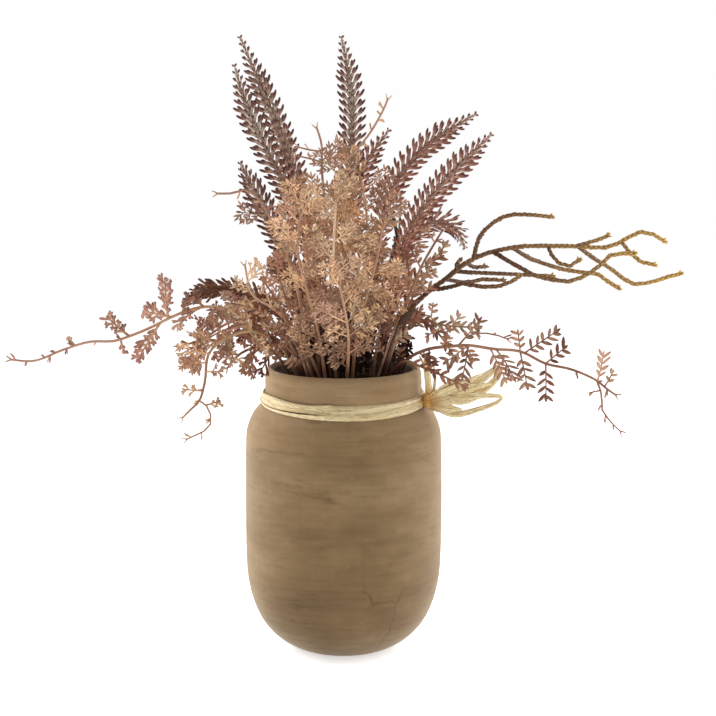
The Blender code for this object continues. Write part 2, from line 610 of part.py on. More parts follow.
def leaf_shape(foot, tip, face, pairs, blunt, seed):
    """A thin arched blade with lobes cut to the rib. Returns its solid and the rods it fills."""
    rng = random.Random(seed)
    x_dir = (tip - foot).normalized()
    length = (tip - foot).length
    z_dir = (face - x_dir * face.dot(x_dir)).normalized()
    y_dir = z_dir.cross(x_dir)
    rib = 0.55
    first = max(0.16 * length, 2.6)
    step = (0.86 * length - first) / pairs
    arch = rng.uniform(0.05, 0.14) * length
    fold = rng.uniform(0.05, 0.30)
    angle = 0.86

    def place(x, y, lift=0.0):
        share = x / length
        z = arch * 4 * share * (1 - share) * 0.5 + fold * abs(y) + lift
        return foot + x_dir * x + y_dir * y + z_dir * z

    spine = [(0.0, rib * 0.9)]
    lobes = []
    for i in range(pairs + 1):
        x = first + step * i
        spine.append((x, rib))
    rods = [(place(2.0, 0), place(length * 0.6, 0), 0.75), (place(length * 0.6, 0), place(length, 0), 0.85)]
    for side in (1, -1):
        for i in range(pairs):
            bell = (0.78, 1.0, 0.92, 0.8)[min(i, 3)] if pairs > 1 else 0.8
            reach = min(0.27 * length + 1.6, 6.6) * bell * rng.uniform(0.9, 1.1)
            x0 = first + step * (i + 0.5)
            wide = min(0.3 * step, 0.95)
            end = (x0 + reach * math.cos(angle), rib + reach * math.sin(angle))
            if not blunt:
                wide = 0.0
            back = (end[0] - wide * math.sin(angle), end[1] + wide * math.cos(angle))
            fore = (end[0] + wide * math.sin(angle), end[1] - wide * math.cos(angle))
            lift = rng.uniform(-0.7, 0.7)
            lobes.append((side, i, back, fore, lift))
            rods.append((place(x0, rib * side), place(end[0], end[1] * side, lift), 1.05))
    front = []
    tris = []
    right = {}
    left = {}
    for i, (x, w) in enumerate(spine):
        right[i] = len(front)
        front.append(place(x, -w))
        left[i] = len(front)
        front.append(place(x, w))
    end_mark = len(front)
    front.append(place(length, 0.0))
    last = len(spine) - 1
    for i in range(last):
        tris += [(right[i], right[i + 1], left[i + 1]), (right[i], left[i + 1], left[i])]
    tris.append((right[last], end_mark, left[last]))
    edge_r = [right[0], right[1]]
    edge_l = [left[0], left[1]]
    for side, i, back, fore, lift in lobes:
        f = len(front)
        front.append(place(fore[0], fore[1] * side, lift))
        low, high = (left[i + 1], left[i + 2]) if side > 0 else (right[i + 1], right[i + 2])
        edge = edge_l if side > 0 else edge_r
        tris.append((low, high, f) if side > 0 else (high, low, f))
        if blunt:
            b = len(front)
            front.append(place(back[0], back[1] * side, lift))
            tris.append((low, f, b) if side > 0 else (low, b, f))
            edge.append(b)
        edge += [f, high]
    outline = edge_r + [end_mark] + list(reversed(edge_l))
    count = len(front)
    half = z_dir * (BLADE * 0.5)
    verts = [p + half for p in front] + [p - half for p in front]
    faces = list(tris)
    faces += [tuple(reversed([i + count for i in tri])) for tri in tris]
    for i, a in enumerate(outline):
        b = outline[(i + 1) % len(outline)]
        faces.append((a, a + count, b + count, b))
    return (verts, faces), rods


def nearest(line, point):
    """The point of a chain of straight runs that lies nearest to a point."""
    found = None
    for a, b in zip(line, line[1:]):
        run = b - a
        share = min(1.0, max(0.0, (point - a).dot(run) / max(run.length_squared, 1e-9)))
        spot = a + run * share
        if found is None or (spot - point).length < (found - point).length:
            found = spot
    return found


def grow_leaf(name, lines, foot, tip, pairs, room, blunt, seed):
    """Finds a way for one leaf to lie that is clear of its neighbours, and returns its solid."""
    rng = random.Random(seed)
    stem = min((nearest(line, foot) for line in lines), key=lambda p: (p - foot).length)
    reach = tip - foot
    outward = Vector((stem.x, stem.y, 0))
    outward = outward.normalized() if outward.length > 1 else Vector((0, -1, 0))
    front = Vector((0, -1, 0)) if stem.y < 10 else Vector((0, 1, 0))
    for attempt in range(40):
        spread = 0.0 if attempt == 0 else 0.12 + 0.022 * attempt
        length = reach.length * (1.0 if attempt < 18 else 0.8 if attempt < 30 else 0.62)
        heading = reach.normalized() + Vector([rng.uniform(-spread, spread) for _ in range(3)])
        heading.normalize()
        face = front * 1.0 + outward * 0.5 + Vector([rng.uniform(-0.6, 0.6) for _ in range(3)])
        if face.cross(heading).length < 0.25:
            continue
        goal = stem + heading * length
        shape, rods = leaf_shape(stem, goal, face, pairs, blunt, seed * 7 + 1)
        if room.free(name, rods):
            room.add(name, rods)
            return shape
    return None


def rule_leaves(line, start, end, count, length, seed):
    """Leaf feet and tips spaced up a stem, alternating round it."""
    rng = random.Random(seed)
    out = []
    for k in range(count):
        share = start + (end - start) * k / max(1, count - 1)
        i = min(len(line) - 2, int(share * (len(line) - 1)))
        foot = line[i]
        along = (line[i + 1] - line[i]).normalized()
        side = along.cross(Vector((0, -1, 0))).normalized() * (1 if k % 2 else -1)
        depth = Vector((0, -1, 0)) * rng.uniform(-0.5, 0.9)
        heading = (side * rng.uniform(0.7, 1.0) + depth + along * rng.uniform(0.5, 0.9)).normalized()
        if share > 0.95:
            heading = (along + side * 0.35).normalized()
        out.append((foot, foot + heading * length * rng.uniform(0.85, 1.1), 3))
    return out


def spray_object(name, stems, room, seed):
    """A leafy spray: one stem, its side branches and its leaves in one piece."""
    foot, line, radius = stems[name]
    steps = spaced(line, 11.0)
    thin = [radius - 0.35 * k / (len(steps) - 1) for k in range(len(steps))]
    main = [Vector((*foot, FOOT_Z))] + [Vector((*foot, FOAM_TOP))] + steps[1:]
    body = make_object(name, tube(main, [radius] + thin, 3, 0.4))
    tools = []
    lines = [main]
    for k, side in enumerate(SPRAYS[name][1:]):
        shifted = [Vector(p) for p in side]
        shifted[0] = nearest(main, shifted[0])
        branch = smooth_line([tuple(p) for p in shifted], 6.0)
        lines.append(branch)
        sizes = [0.72 - 0.2 * i / (len(branch) - 1) for i in range(len(branch))]
        tools.append(make_object(name + "_side%d" % k, tube(branch, sizes, 3, 0.2)))
    listed = [(Vector(a), Vector(b), n) for a, b, n in LEAVES.get(name, [])]
    if name in LEAF_RULES:
        listed += rule_leaves(line, *LEAF_RULES[name], seed)
    for k, (base, tip, pairs) in enumerate(listed):
        shape = grow_leaf(name, lines, base, tip, pairs, room, name in BLUNT, seed * 50 + k)
        if shape:
            tools.append(make_object(name + "_leaf%d" % k, shape))
    return finish(boolean(body, tools, "UNION", "MANIFOLD")) if tools else finish(body)


def branch_rods(name):
    """The rods of a piece's side branches, so that others keep off them."""
    rods = []
    for side in SPRAYS.get(name, [])[1:]:
        rods += bar_rods(smooth_line(side, 4.0), 0.75)
    return rods


def knobbly(line, start, end, seed):
    """A bumpy bar along a line, swelling and narrowing at each scale."""
    rng = random.Random(seed)
    radii = []
    for k in range(len(line)):
        base = start + (end - start) * k / (len(line) - 1)
        radii.append(base * (1.14 if k % 2 else 0.86) * rng.uniform(0.95, 1.05))
    radii[-1] *= 0.8
    return tube(line, radii, 4, rng.uniform(0, 1))


def twig_object(stems):
    foot, line, radius = stems["twig_branch"]
    main = with_foot(foot, line, 7.5)
    body = make_object("twig_branch", knobbly(main, 1.9, 1.05, 5))
    tools = []
    for k, (route, start, end) in enumerate(TWIG[1:]):
        pts = [Vector(p) for p in route]
        pts[0] = nearest(main, pts[0])
        side = smooth_line([tuple(p) for p in pts], 7.0)
        tools.append(make_object("twig_side%d" % k, knobbly(side, start, end, 20 + k)))
    return finish(boolean(body, tools, "UNION", "MANIFOLD"))


def twig_rods(line):
    rods = bar_rods(line, 1.7)
    for route, start, end in TWIG[1:]:
        pts = [Vector(p) for p in route]
        pts[0] = nearest(line, pts[0])
        rods += bar_rods(smooth_line([tuple(p) for p in pts], 4.0), 1.45)
    return rods


def green_object(name, stems):
    foot, line, radius = stems[name]
    main = with_foot(foot, line, 11.0)
    sizes = [radius - 0.3 * k / (len(main) - 1) for k in range(len(main))]
    body = make_object(name, tube(main, sizes, 5))
    tools = []
    for k, side in enumerate(GREEN[name][0][1:]):
        pts = [Vector(p) for p in side]
        pts[0] = nearest(main, pts[0])
        branch = smooth_line([tuple(p) for p in pts], 4.0)
        tools.append(make_object(name + "_side%d" % k, tube(branch, [0.7] * len(branch), 5)))
    return finish(boolean(body, tools, "UNION", "MANIFOLD")) if tools else finish(body)


def strip(route, widths):
    """A flat raffia strip that follows a route, standing across the view."""
    line = [Vector(p) for p in route]
    verts = []
    faces = []
    out = Vector((0.35, -1.0, 0.1)).normalized()
    for k, p in enumerate(line):
        t = (line[min(k + 1, len(line) - 1)] - line[max(k - 1, 0)]).normalized()
        wide = t.cross(out).normalized() * (widths[k] / 2)
        thick = t.cross(wide).normalized() * 0.4
        verts += [p - wide - thick, p + wide - thick, p + wide + thick, p - wide + thick]
    for k in range(len(line) - 1):
        for i in range(4):
            j = (i + 1) % 4
            faces.append((4 * k + i, 4 * k + j, 4 * k + 4 + j, 4 * k + 4 + i))
    end = 4 * (len(line) - 1)
    faces.append((3, 2, 1, 0))
    faces.append((end, end + 1, end + 2, end + 3))
    return verts, faces


def band_shape():
    """The raffia band: a ring of pressed strands whose edges wander a little."""
    verts = []
    faces = []
    count = len(BAND_SIDE)
    for i in range(JAR_SIDES):
        a = 2 * math.pi * i / JAR_SIDES
        share = max(0.0, -math.sin(a)) ** 1.5
        lift = 0.2 + 0.2 * math.sin(2 * a + 1.0)
        for k in range(count):
            r = BAND_SIDE[k][0] + (BAND_FRONT[k][0] - BAND_SIDE[k][0]) * share
            z = BAND_SIDE[k][1] + (BAND_FRONT[k][1] - BAND_SIDE[k][1]) * share
            if k in (1, 2, 3):
                r += 0.15 + 0.15 * math.sin(5 * a + 2 * k)
            verts.append((r * math.cos(a), r * math.sin(a), z + lift))
    for i in range(JAR_SIDES):
        j = (i + 1) % JAR_SIDES
        for k in range(count):
            m = (k + 1) % count
            faces.append((i * count + k, i * count + m, j * count + m, j * count + k))
    return verts, faces


def raffia_object():
    body = make_object("raffia_tie", band_shape())
    tools = [make_object("bow%d" % k, strip(route, widths)) for k, (route, widths) in enumerate(BOW)]
    knot = []
    x, y, z = KNOT
    for dz, r in ((-3.5, 1.6), (-1.6, 3.4), (1.2, 3.6), (3.6, 1.8)):
        for i in range(7):
            a = 2 * math.pi * i / 7
            knot.append((x + r * math.cos(a) * 0.8, y + r * math.sin(a), z + dz))
    faces = [tuple(reversed(range(7))), tuple(range(21, 28))]
    for k in range(3):
        for i in range(7):
            j = (i + 1) % 7
            faces.append((k * 7 + i, k * 7 + j, k * 7 + 7 + j, k * 7 + 7 + i))
    tools.append(make_object("knot", (knot, faces)))
    return finish(boolean(body, tools, "UNION", "MANIFOLD"))


def raffia_rods():
    rods = [((KNOT[0], KNOT[1], KNOT[2] - 3), (KNOT[0], KNOT[1], KNOT[2] + 3), 3.8)]
    for route, widths in BOW:
        for k in range(len(route) - 1):
            rods.append((route[k], route[k + 1], max(widths[k], widths[k + 1]) / 2 + 0.2))
    for i in range(JAR_SIDES):
        a = 2 * math.pi * i / JAR_SIDES
        b = 2 * math.pi * (i + 1) / JAR_SIDES
        rods.append(((47.6 * math.cos(a), 47.6 * math.sin(a), 144.6),
                     (47.6 * math.cos(b), 47.6 * math.sin(b), 144.6), 4.2))
    return rods


def foam_object(stems):
    """The foam plug, with a plain hole for the foot of every stem."""
    body = make_object("foam_block", lathe(FOAM_PROFILE, FOAM_SIDES))
    verts = []
    faces = []
    for k, (foot, line, radius) in enumerate(stems.values()):
        sides = 4
        r = (radius + GAP) / math.cos(math.pi / sides)
        base = len(verts)
        for z in (FOOT_Z - GAP, FOAM_TOP + 2.0):
            for i in range(sides):
                a = 2 * math.pi * i / sides + 0.3 * k
                verts.append((foot[0] + r * math.cos(a), foot[1] + r * math.sin(a), z))
        for i in range(sides):
            j = (i + 1) % sides
            faces.append((base + i, base + j, base + sides + j, base + sides + i))
        faces.append(tuple(base + i for i in reversed(range(sides))))
        faces.append(tuple(base + sides + i for i in range(sides)))
    holes = make_object("holes", (verts, faces))
    return finish(boolean(body, [holes], "DIFFERENCE", "MANIFOLD"))


def build():
    clear_scene()
    stems = lay_stems()
    room = Room()
    for name, (foot, line, radius) in stems.items():
        room.add(name, twig_rods(line) if name == "twig_branch" else bar_rods(line[::2] + line[-1:], radius))
        room.add(name, branch_rods(name))
    room.add("raffia_tie", raffia_rods())
    verts, faces = lathe(JAR_PROFILE, JAR_SIDES)
    finish(make_object("jar", (verts, faces)))
    foam_object(stems)
    raffia_object()
    for k, (name, (route, start)) in enumerate(PLUMES.items()):
        foot, line, radius = stems[name]
        finish(make_object(name, plume_shape(name, foot, line, start, room, 40 + k)))
    for k, name in enumerate(SPRAYS):
        spray_object(name, stems, room, 300 + k)
    twig_object(stems)
    for name in GREEN:
        green_object(name, stems)


build()
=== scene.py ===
"""The looks of a clay jar of dried flowers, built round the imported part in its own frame.

Lengths are in millimetres until a mesh is made, then metres. +Z is up, -Y is the front, and the origin is
the centre of the jar's flat base. Stems, needles and leaves are first laid as the solid ones lie, by the same
rules and seeds, so that the finer ones stay inside them and the added ones find free room between them.
"""

import math
import random

import bpy
import numpy as np
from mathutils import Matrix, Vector


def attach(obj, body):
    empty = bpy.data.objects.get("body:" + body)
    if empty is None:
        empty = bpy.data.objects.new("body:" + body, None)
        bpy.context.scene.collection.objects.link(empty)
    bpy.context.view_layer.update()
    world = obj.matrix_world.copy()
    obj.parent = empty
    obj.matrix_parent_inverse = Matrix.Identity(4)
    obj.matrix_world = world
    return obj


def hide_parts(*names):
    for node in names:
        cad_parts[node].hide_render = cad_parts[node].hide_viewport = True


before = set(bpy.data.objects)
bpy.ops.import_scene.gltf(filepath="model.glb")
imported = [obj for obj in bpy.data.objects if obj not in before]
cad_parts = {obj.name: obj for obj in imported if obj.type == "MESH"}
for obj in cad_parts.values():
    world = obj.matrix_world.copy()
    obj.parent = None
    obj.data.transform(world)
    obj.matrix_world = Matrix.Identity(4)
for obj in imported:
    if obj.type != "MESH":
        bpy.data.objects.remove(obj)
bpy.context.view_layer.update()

MM = 0.001
UP = Vector((0, 0, 1))
FRONT = Vector((0, -1, 0))

# The clearance between one piece and the next.
GAP = 0.3
JAR_SIDES = 32
FOAM_TOP = 155.5
FOOT_Z = 127.0
# The jar as what is added keeps off it: inside the mouth, over the lip, round the neck, down the slope of
# the shoulder and round the belly.
MOUTH_RADIUS = 39.3
LIP_TOP = 163.4
NECK_RADIUS = 44.8
NECK_FOOT = 142
SLOPE_FOOT = 132
SLOPE_RISE = 10.0
SLOPE_RUN = 11.0
BELLY_TOP = 122
BELLY_RADIUS = 56.2
# The stems' radii, and how far their needles or leaves reach when the stems are eased apart.
PLUME_RADIUS = 1.15
SPRAY_RADIUS = 1.0
PLUME_REACH = 5.0
LEAF_REACH = 2.2
LONGEST_NEEDLE = 9.8

# Radius and height up the outside of the jar, over the lip and down the inside.
JAR_PROFILE = [(24, 0), (32, 3), (41.4, 10), (48.8, 20), (54.2, 36), (56, 54), (56, 122), (55, 129),
    (51.6, 137), (48.2, 140.7), (45.4, 142.6), (44.6, 145), (44.6, 159.5), (43.4, 162.6), (41.6, 163.4),
    (39.7, 161.5), (39.7, 142), (50.2, 127), (51, 54), (46, 26), (34, 11), (12, 6)]
JAR_INSIDE = 16
# The raffia band in section as radius and height: thin against the neck all round, and slipped down onto
# the shoulder at the front.
BAND_SIDE = [(45.0, 147.6), (46.0, 147.8), (46.7, 145.6), (47.2, 143.5), (46.4, 142.9), (45.3, 144.3)]
BAND_FRONT = [(45.0, 147.0), (46.4, 147.3), (47.6, 145.0), (50.1, 141.8), (49.2, 141.1), (45.9, 143.7)]

# Each fern plume: its look, the share of its length where the needles start, how thick and how uneven the
# needles are, how far apart their rings, and its route.
PLUMES = {
    "fern_plume_left_tall": ("plume_grey", 0.42, 1.0, 0.0, 4.6, [(-13, 20, 165), (-13, 32, 191),
        (-18, 42, 225), (-26, 50, 256), (-35, 55, 287), (-48, 58, 318), (-60, 58, 347)]),
    "fern_plume_left_second": ("plume_grey", 0.43, 1.0, 0.0, 4.6, [(-13, -2, 164), (-16, 0, 201),
        (-22, 2, 235), (-31, 4, 261), (-45, 6, 289), (-55, 6, 312), (-61, 6, 333)]),
    "fern_plume_left_low": ("plume_grey", 0.47, 1.0, 0.0, 4.6, [(-19, 2, 164), (-21, 2, 190), (-25, 0, 210),
        (-32, -4, 229), (-42, -8, 249), (-50, -12, 265), (-57, -14, 280)]),
    "fern_plume_centre": ("plume_grey", 0.5, 1.0, 0.0, 4.6, [(0, 8, 164), (0, 14, 199), (1, 18, 233),
        (3, 22, 267), (5, 25, 296), (4, 27, 319), (-1, 28, 348)]),
    "fern_plume_back_centre": ("plume_rose", 0.42, 1.0, 0.0, 4.6, [(7, 22, 165), (2, 32, 197), (0, 38, 228),
        (4, 42, 251), (12, 44, 274), (26, 45, 294)]),
    "fern_plume_right_upper": ("plume_rose", 0.44, 1.0, 0.0, 4.6, [(15, 10, 165), (16, 16, 199),
        (20, 20, 227), (25, 22, 254), (34, 22, 273), (51, 22, 290), (75, 20, 305)]),
    "fern_plume_right_lower": ("plume_rose", 0.46, 1.0, 0.0, 4.6, [(20, 0, 164), (24, -4, 196),
        (29, -8, 221), (37, -11, 242), (50, -13, 262), (66, -15, 280), (82, -16, 296)]),
    "fern_plume_right_arch": ("plume_rose", 0.42, 0.62, 0.0, 4.6, [(23, 14, 165), (26, 24, 192),
        (31, 32, 216), (41, 36, 234), (53, 38, 242), (65, 38, 238), (70, 36, 227)]),
    "fern_plume_left_arch": ("plume_rust", 0.4, 1.0, 0.16, 3.3, [(-25, 8, 164), (-32, 18, 184),
        (-45, 28, 196), (-63, 34, 202), (-79, 36, 202), (-93, 34, 195)]),
    "fern_plume_back_left": ("plume_rust", 0.4, 1.0, 0.0, 3.3, [(-16, 18, 165), (-24, 34, 188),
        (-32, 50, 206), (-44, 66, 217)]),
}

# Each modelled spray: its look, the shares of its stem between which it is crowded with small leaves, the
# share after which it is bare but for buds, half the width of a blunt lobe, or 0 where its leaflets are
# pointed, and its routes: the main one from the mouth outwards, then its side branches.
SPRAYS = {
    "leaf_spray_left_long": ("leaf_rose", (0.1, 0.42), 0.66, 0.95, [[(-20, -8, 165), (-30, -14, 179),
        (-43, -20, 190), (-58, -24, 197), (-71, -27, 201), (-80, -28, 201), (-90, -29, 198),
        (-97, -30, 195), (-109, -30, 189), (-119, -30, 185), (-129, -30, 182), (-141, -30, 182),
        (-157, -30, 177), (-172, -30, 171), (-186, -30, 172)]]),
    "leaf_spray_left_droop": ("leaf_ochre", (0.15, 0.62), 0.8, 0.68, [[(-26, -14, 164), (-36, -26, 180),
        (-51, -38, 189), (-64, -44, 186), (-74, -47, 178), (-76, -48, 163), (-79, -49, 152),
        (-83, -49, 148), (-89, -49, 142)], [(-79, -49, 152), (-76, -49, 150), (-73, -49, 144),
        (-73, -49, 141), (-75, -49, 136), (-87, -49, 130)]]),
    "leaf_spray_left_back": ("leaf_rust", (0.15, 0.85), 0.9, 0.66, [[(-22, 12, 163), (-34, 24, 178),
        (-51, 32, 186), (-67, 36, 183), (-81, 38, 174), (-97, 38, 168)]]),
    "leaf_spray_left_rim": ("leaf_brown", (0.2, 0.9), 0.9, 0.7, [[(-31, -4, 164), (-40, -16, 175),
        (-49, -26, 178), (-58, -32, 175), (-65, -34, 167)]]),
    "leaf_spray_right_inner": ("leaf_brown", (0.2, 0.95), 0.9, 0.0, [[(16, 8, 164), (23, 16, 185),
        (31, 22, 203), (37, 26, 220), (36, 28, 233)]]),
    "leaf_spray_right_up": ("leaf_brown", (0.3, 0.7), 0.9, 0.0, [[(23, -12, 164), (31, -20, 187),
        (37, -26, 208), (43, -28, 223), (49, -28, 234), (55, -28, 244)]]),
    "leaf_spray_right_long": ("leaf_brown", (0.08, 0.38), 0.8, 0.0, [[(28, -6, 164), (37, -12, 170),
        (48, -18, 176), (60, -22, 178), (70, -24, 179), (85, -26, 177), (99, -27, 176), (113, -27, 169),
        (127, -27, 166), (141, -27, 160), (147, -27, 155), (153, -27, 151)], [(142, -27, 159),
        (145, -27, 150), (144, -27, 145), (149, -27, 137), (156, -27, 130)], [(58, -22, 178),
        (57, -24, 185), (54, -25, 189), (48, -26, 196), (43, -26, 197)], [(64, -23, 179), (70, -20, 184),
        (77, -18, 185), (85, -17, 184), (93, -16, 181)]]),
    "tan_spray_left": ("leaf_pale", (0.25, 0.9), 0.9, 0.62, [[(-14, -20, 164), (-24, -28, 185),
        (-39, -38, 202), (-50, -42, 210), (-54, -44, 227)]]),
    "tan_spray_centre_tall": ("leaf_tan", (0.15, 0.62), 0.7, 0.0, [[(-14, -16, 164), (-15, -20, 184),
        (-12, -22, 197), (-6, -22, 212), (-4, -22, 238), (-3, -20, 260), (-2, -18, 278), (6, -16, 286),
        (15, -14, 297), (22, -13, 309), (25, -12, 316)]]),
    "tan_spray_top_left": ("leaf_dusk", (0.2, 0.72), 0.84, 0.0, [[(-4, -6, 164), (-5, -6, 196),
        (-8, -6, 225), (-10, -7, 253), (-12, -8, 276), (-12, -9, 290), (-15, -10, 300)], [(-12, -9, 286),
        (-18, -11, 287), (-26, -12, 289)], [(-11, -8, 280), (-18, -9, 282), (-27, -10, 284)]]),
    "tan_spray_inner_left": ("leaf_tan", (0.2, 0.95), 0.9, 0.0, [[(-10, -26, 163), (-14, -36, 189),
        (-20, -42, 213), (-25, -44, 235), (-23, -44, 256)]]),
    "tan_spray_inner_right": ("leaf_tan", (0.2, 0.7), 0.9, 0.0, [[(5, -22, 163), (8, -32, 189),
        (14, -38, 212), (19, -42, 232), (22, -44, 250)]]),
    "tan_spray_upper_left": ("leaf_dusk", (0.2, 0.42), 0.74, 0.0, [[(-16, -18, 163), (-22, -28, 194),
        (-28, -32, 222), (-37, -34, 245), (-45, -34, 260), (-53, -34, 267), (-61, -34, 265),
        (-70, -34, 265)]]),
    "tan_spray_front": ("leaf_tan", (0.2, 0.95), 0.9, 0.0, [[(2, -30, 163), (3, -44, 185), (1, -54, 203),
        (-2, -60, 219)]]),
}

# Leaves set one by one: foot near the stem, tip, and pairs of lobes.
LEAVES = {
    "leaf_spray_left_long": [((-97, -30, 195), (-98, -36, 218), 4), ((-99, -30, 203), (-115, -26, 206), 3),
        ((-102, -30, 193), (-115, -38, 172), 4), ((-119, -30, 185), (-132, -26, 196), 2), ((-124, -30, 183),
        (-121, -33, 175), 1), ((-71, -27, 201), (-76, -37, 187), 3), ((-80, -28, 201), (-93, -40, 192), 3),
        ((-58, -24, 197), (-65, -34, 211), 3), ((-43, -20, 190), (-51, -28, 205), 3), ((-90, -29, 198),
        (-85, -35, 208), 2), ((-149, -30, 179), (-153, -27, 184), 1)],
    "leaf_spray_left_droop": [((-64, -44, 186), (-71, -50, 198), 3), ((-64, -44, 186), (-59, -54, 174), 3),
        ((-74, -47, 178), (-92, -55, 184), 3), ((-76, -48, 168), (-66, -53, 169), 2), ((-77, -48, 157),
        (-88, -54, 159), 2), ((-76, -49, 149), (-68, -52, 152), 2), ((-51, -38, 189), (-56, -48, 201), 3),
        ((-51, -38, 189), (-41, -50, 181), 3), ((-75, -47, 173), (-90, -41, 172), 3)],
    "leaf_spray_left_back": [((-51, 32, 186), (-59, 40, 199), 3), ((-51, 32, 186), (-48, 40, 171), 3),
        ((-67, 36, 183), (-77, 44, 193), 3), ((-67, 36, 183), (-66, 46, 165), 3), ((-81, 38, 174),
        (-84, 44, 185), 3), ((-81, 38, 174), (-88, 44, 159), 3)],
    "leaf_spray_left_rim": [((-40, -16, 175), (-47, -24, 163), 3), ((-49, -26, 178), (-53, -34, 191), 3),
        ((-49, -26, 178), (-52, -32, 163), 2), ((-58, -32, 175), (-69, -38, 179), 3)],
    "leaf_spray_right_inner": [((23, 16, 185), (16, 22, 198), 3), ((31, 22, 203), (24, 30, 216), 3),
        ((31, 22, 203), (44, 30, 213), 3), ((37, 26, 220), (30, 32, 232), 3), ((37, 26, 220), (47, 34, 226),
        3)],
    "leaf_spray_right_up": [((37, -26, 208), (32, -32, 223), 3), ((43, -28, 223), (36, -34, 237), 3),
        ((43, -28, 223), (56, -32, 231), 3), ((37, -26, 208), (50, -32, 214), 3), ((31, -20, 187),
        (43, -28, 198), 2), ((51, -28, 237), (45, -31, 246), 2)],
    "leaf_spray_right_long": [((99, -27, 176), (97, -31, 190), 3), ((101, -27, 176), (121, -33, 191), 4),
        ((113, -27, 169), (125, -31, 180), 2), ((99, -27, 176), (103, -35, 156), 3), ((113, -27, 169),
        (113, -32, 148), 3), ((142, -27, 159), (145, -30, 177), 3), ((146, -27, 156), (151, -29, 166), 1),
        ((144, -27, 154), (137, -29, 153), 1), ((85, -26, 177), (96, -34, 159), 3), ((82, -26, 178),
        (86, -19, 157), 3), ((70, -24, 179), (66, -30, 160), 3), ((70, -24, 179), (55, -36, 170), 3),
        ((48, -18, 176), (49, -26, 163), 2), ((57, -24, 185), (66, -28, 198), 3), ((54, -25, 189),
        (45, -28, 184), 2), ((49, -26, 195), (50, -28, 204), 1), ((66, -22, 181), (77, -26, 196), 2)],
    "tan_spray_left": [((-50, -42, 210), (-61, -47, 216), 3), ((-52, -43, 220), (-46, -47, 229), 2),
        ((-39, -38, 202), (-44, -44, 217), 3), ((-39, -38, 202), (-29, -46, 213), 3), ((-24, -28, 185),
        (-35, -36, 195), 3)],
}

# Sprays whose leaves follow a rule: the shares of the stem where they start and end, how many, how long.
LEAF_RULES = {
    "tan_spray_centre_tall": (0.22, 0.7, 7, 20),
    "tan_spray_top_left": (0.36, 0.84, 6, 19),
    "tan_spray_inner_left": (0.3, 0.97, 6, 21),
    "tan_spray_inner_right": (0.3, 0.97, 6, 21),
    "tan_spray_upper_left": (0.34, 0.74, 5, 17),
    "tan_spray_front": (0.35, 0.97, 5, 20),
}

# No added leaf reaches further forward than this.
FRONT_LIMIT = -63.0

# The twig's runs: route, and the radius at the start and at the tip.
TWIG = [
    ([(26, 4, 164), (30, 6, 183), (33, 8, 192), (41, 8, 198), (49, 8, 206), (58, 8, 212), (66, 8, 219),
        (74, 8, 224), (85, 8, 228), (102, 8, 231), (119, 8, 231), (132, 8, 231), (146, 8, 230),
        (153, 8, 231), (160, 8, 235), (167, 8, 239), (173, 8, 239), (182, 8, 234)], 2.0, 1.0),
    ([(74, 8, 224), (76, 2, 235), (81, -4, 243), (91, -9, 250), (103, -12, 251), (116, -14, 250)], 1.3,
        0.9),
    ([(132, 8, 231), (143, 2, 235), (149, -2, 238)], 1.1, 0.9),
    ([(85, 8, 228), (92, 2, 224), (100, -3, 220), (108, -7, 216), (118, -9, 214), (126, -10, 213),
        (135, -10, 216), (144, -10, 222), (150, -10, 228), (157, -10, 229), (163, -10, 229)], 1.3, 1.0),
    ([(96, 8, 230), (105, 14, 224), (114, 19, 220), (126, 22, 216), (138, 24, 214), (146, 24, 213),
        (153, 24, 208), (158, 24, 205)], 1.3, 1.0),
    ([(116, 8, 231), (119, 3, 225), (124, 0, 221), (129, -1, 221), (133, -1, 224)], 1.1, 0.9),
    ([(133, 8, 231), (142, 12, 224), (150, 16, 219), (158, 18, 213), (163, 18, 209), (168, 18, 208),
        (176, 18, 209), (185, 18, 212), (193, 18, 214)], 1.3, 1.0),
    ([(158, 8, 233), (166, 4, 224), (176, 2, 221)], 1.1, 0.9),
    ([(63, 8, 217), (78, 14, 215), (91, 18, 214), (103, 21, 213), (120, 23, 212)], 1.2, 0.9),
    ([(50, 8, 206), (59, 2, 208), (67, -3, 211), (76, -7, 210), (85, -9, 210), (92, -11, 212),
        (99, -11, 216)], 1.2, 0.9),
    ([(58, 8, 212), (70, 18, 209), (80, 24, 210), (92, 27, 209)], 1.2, 0.9),
    ([(64, 8, 218), (64, 3, 221), (66, 0, 224)], 1.1, 0.9),
    ([(70, 8, 221), (75, 15, 218), (81, 19, 218)], 1.1, 0.9),
]

# The green stems: routes, as for the sprays, and radius.
GREEN = {
    "green_stem_dark": ([[(12, 26, 164), (20, 32, 197), (27, 34, 219), (31, 34, 235), (28, 34, 247),
        (24, 32, 255)], [(30, 34, 238), (26, 33, 244), (21, 31, 247)]], 1.3),
    "green_stem_light": ([[(18, 24, 164), (26, 28, 197), (31, 29, 223), (32, 29, 241), (33, 29, 257)]],
        0.9),
}

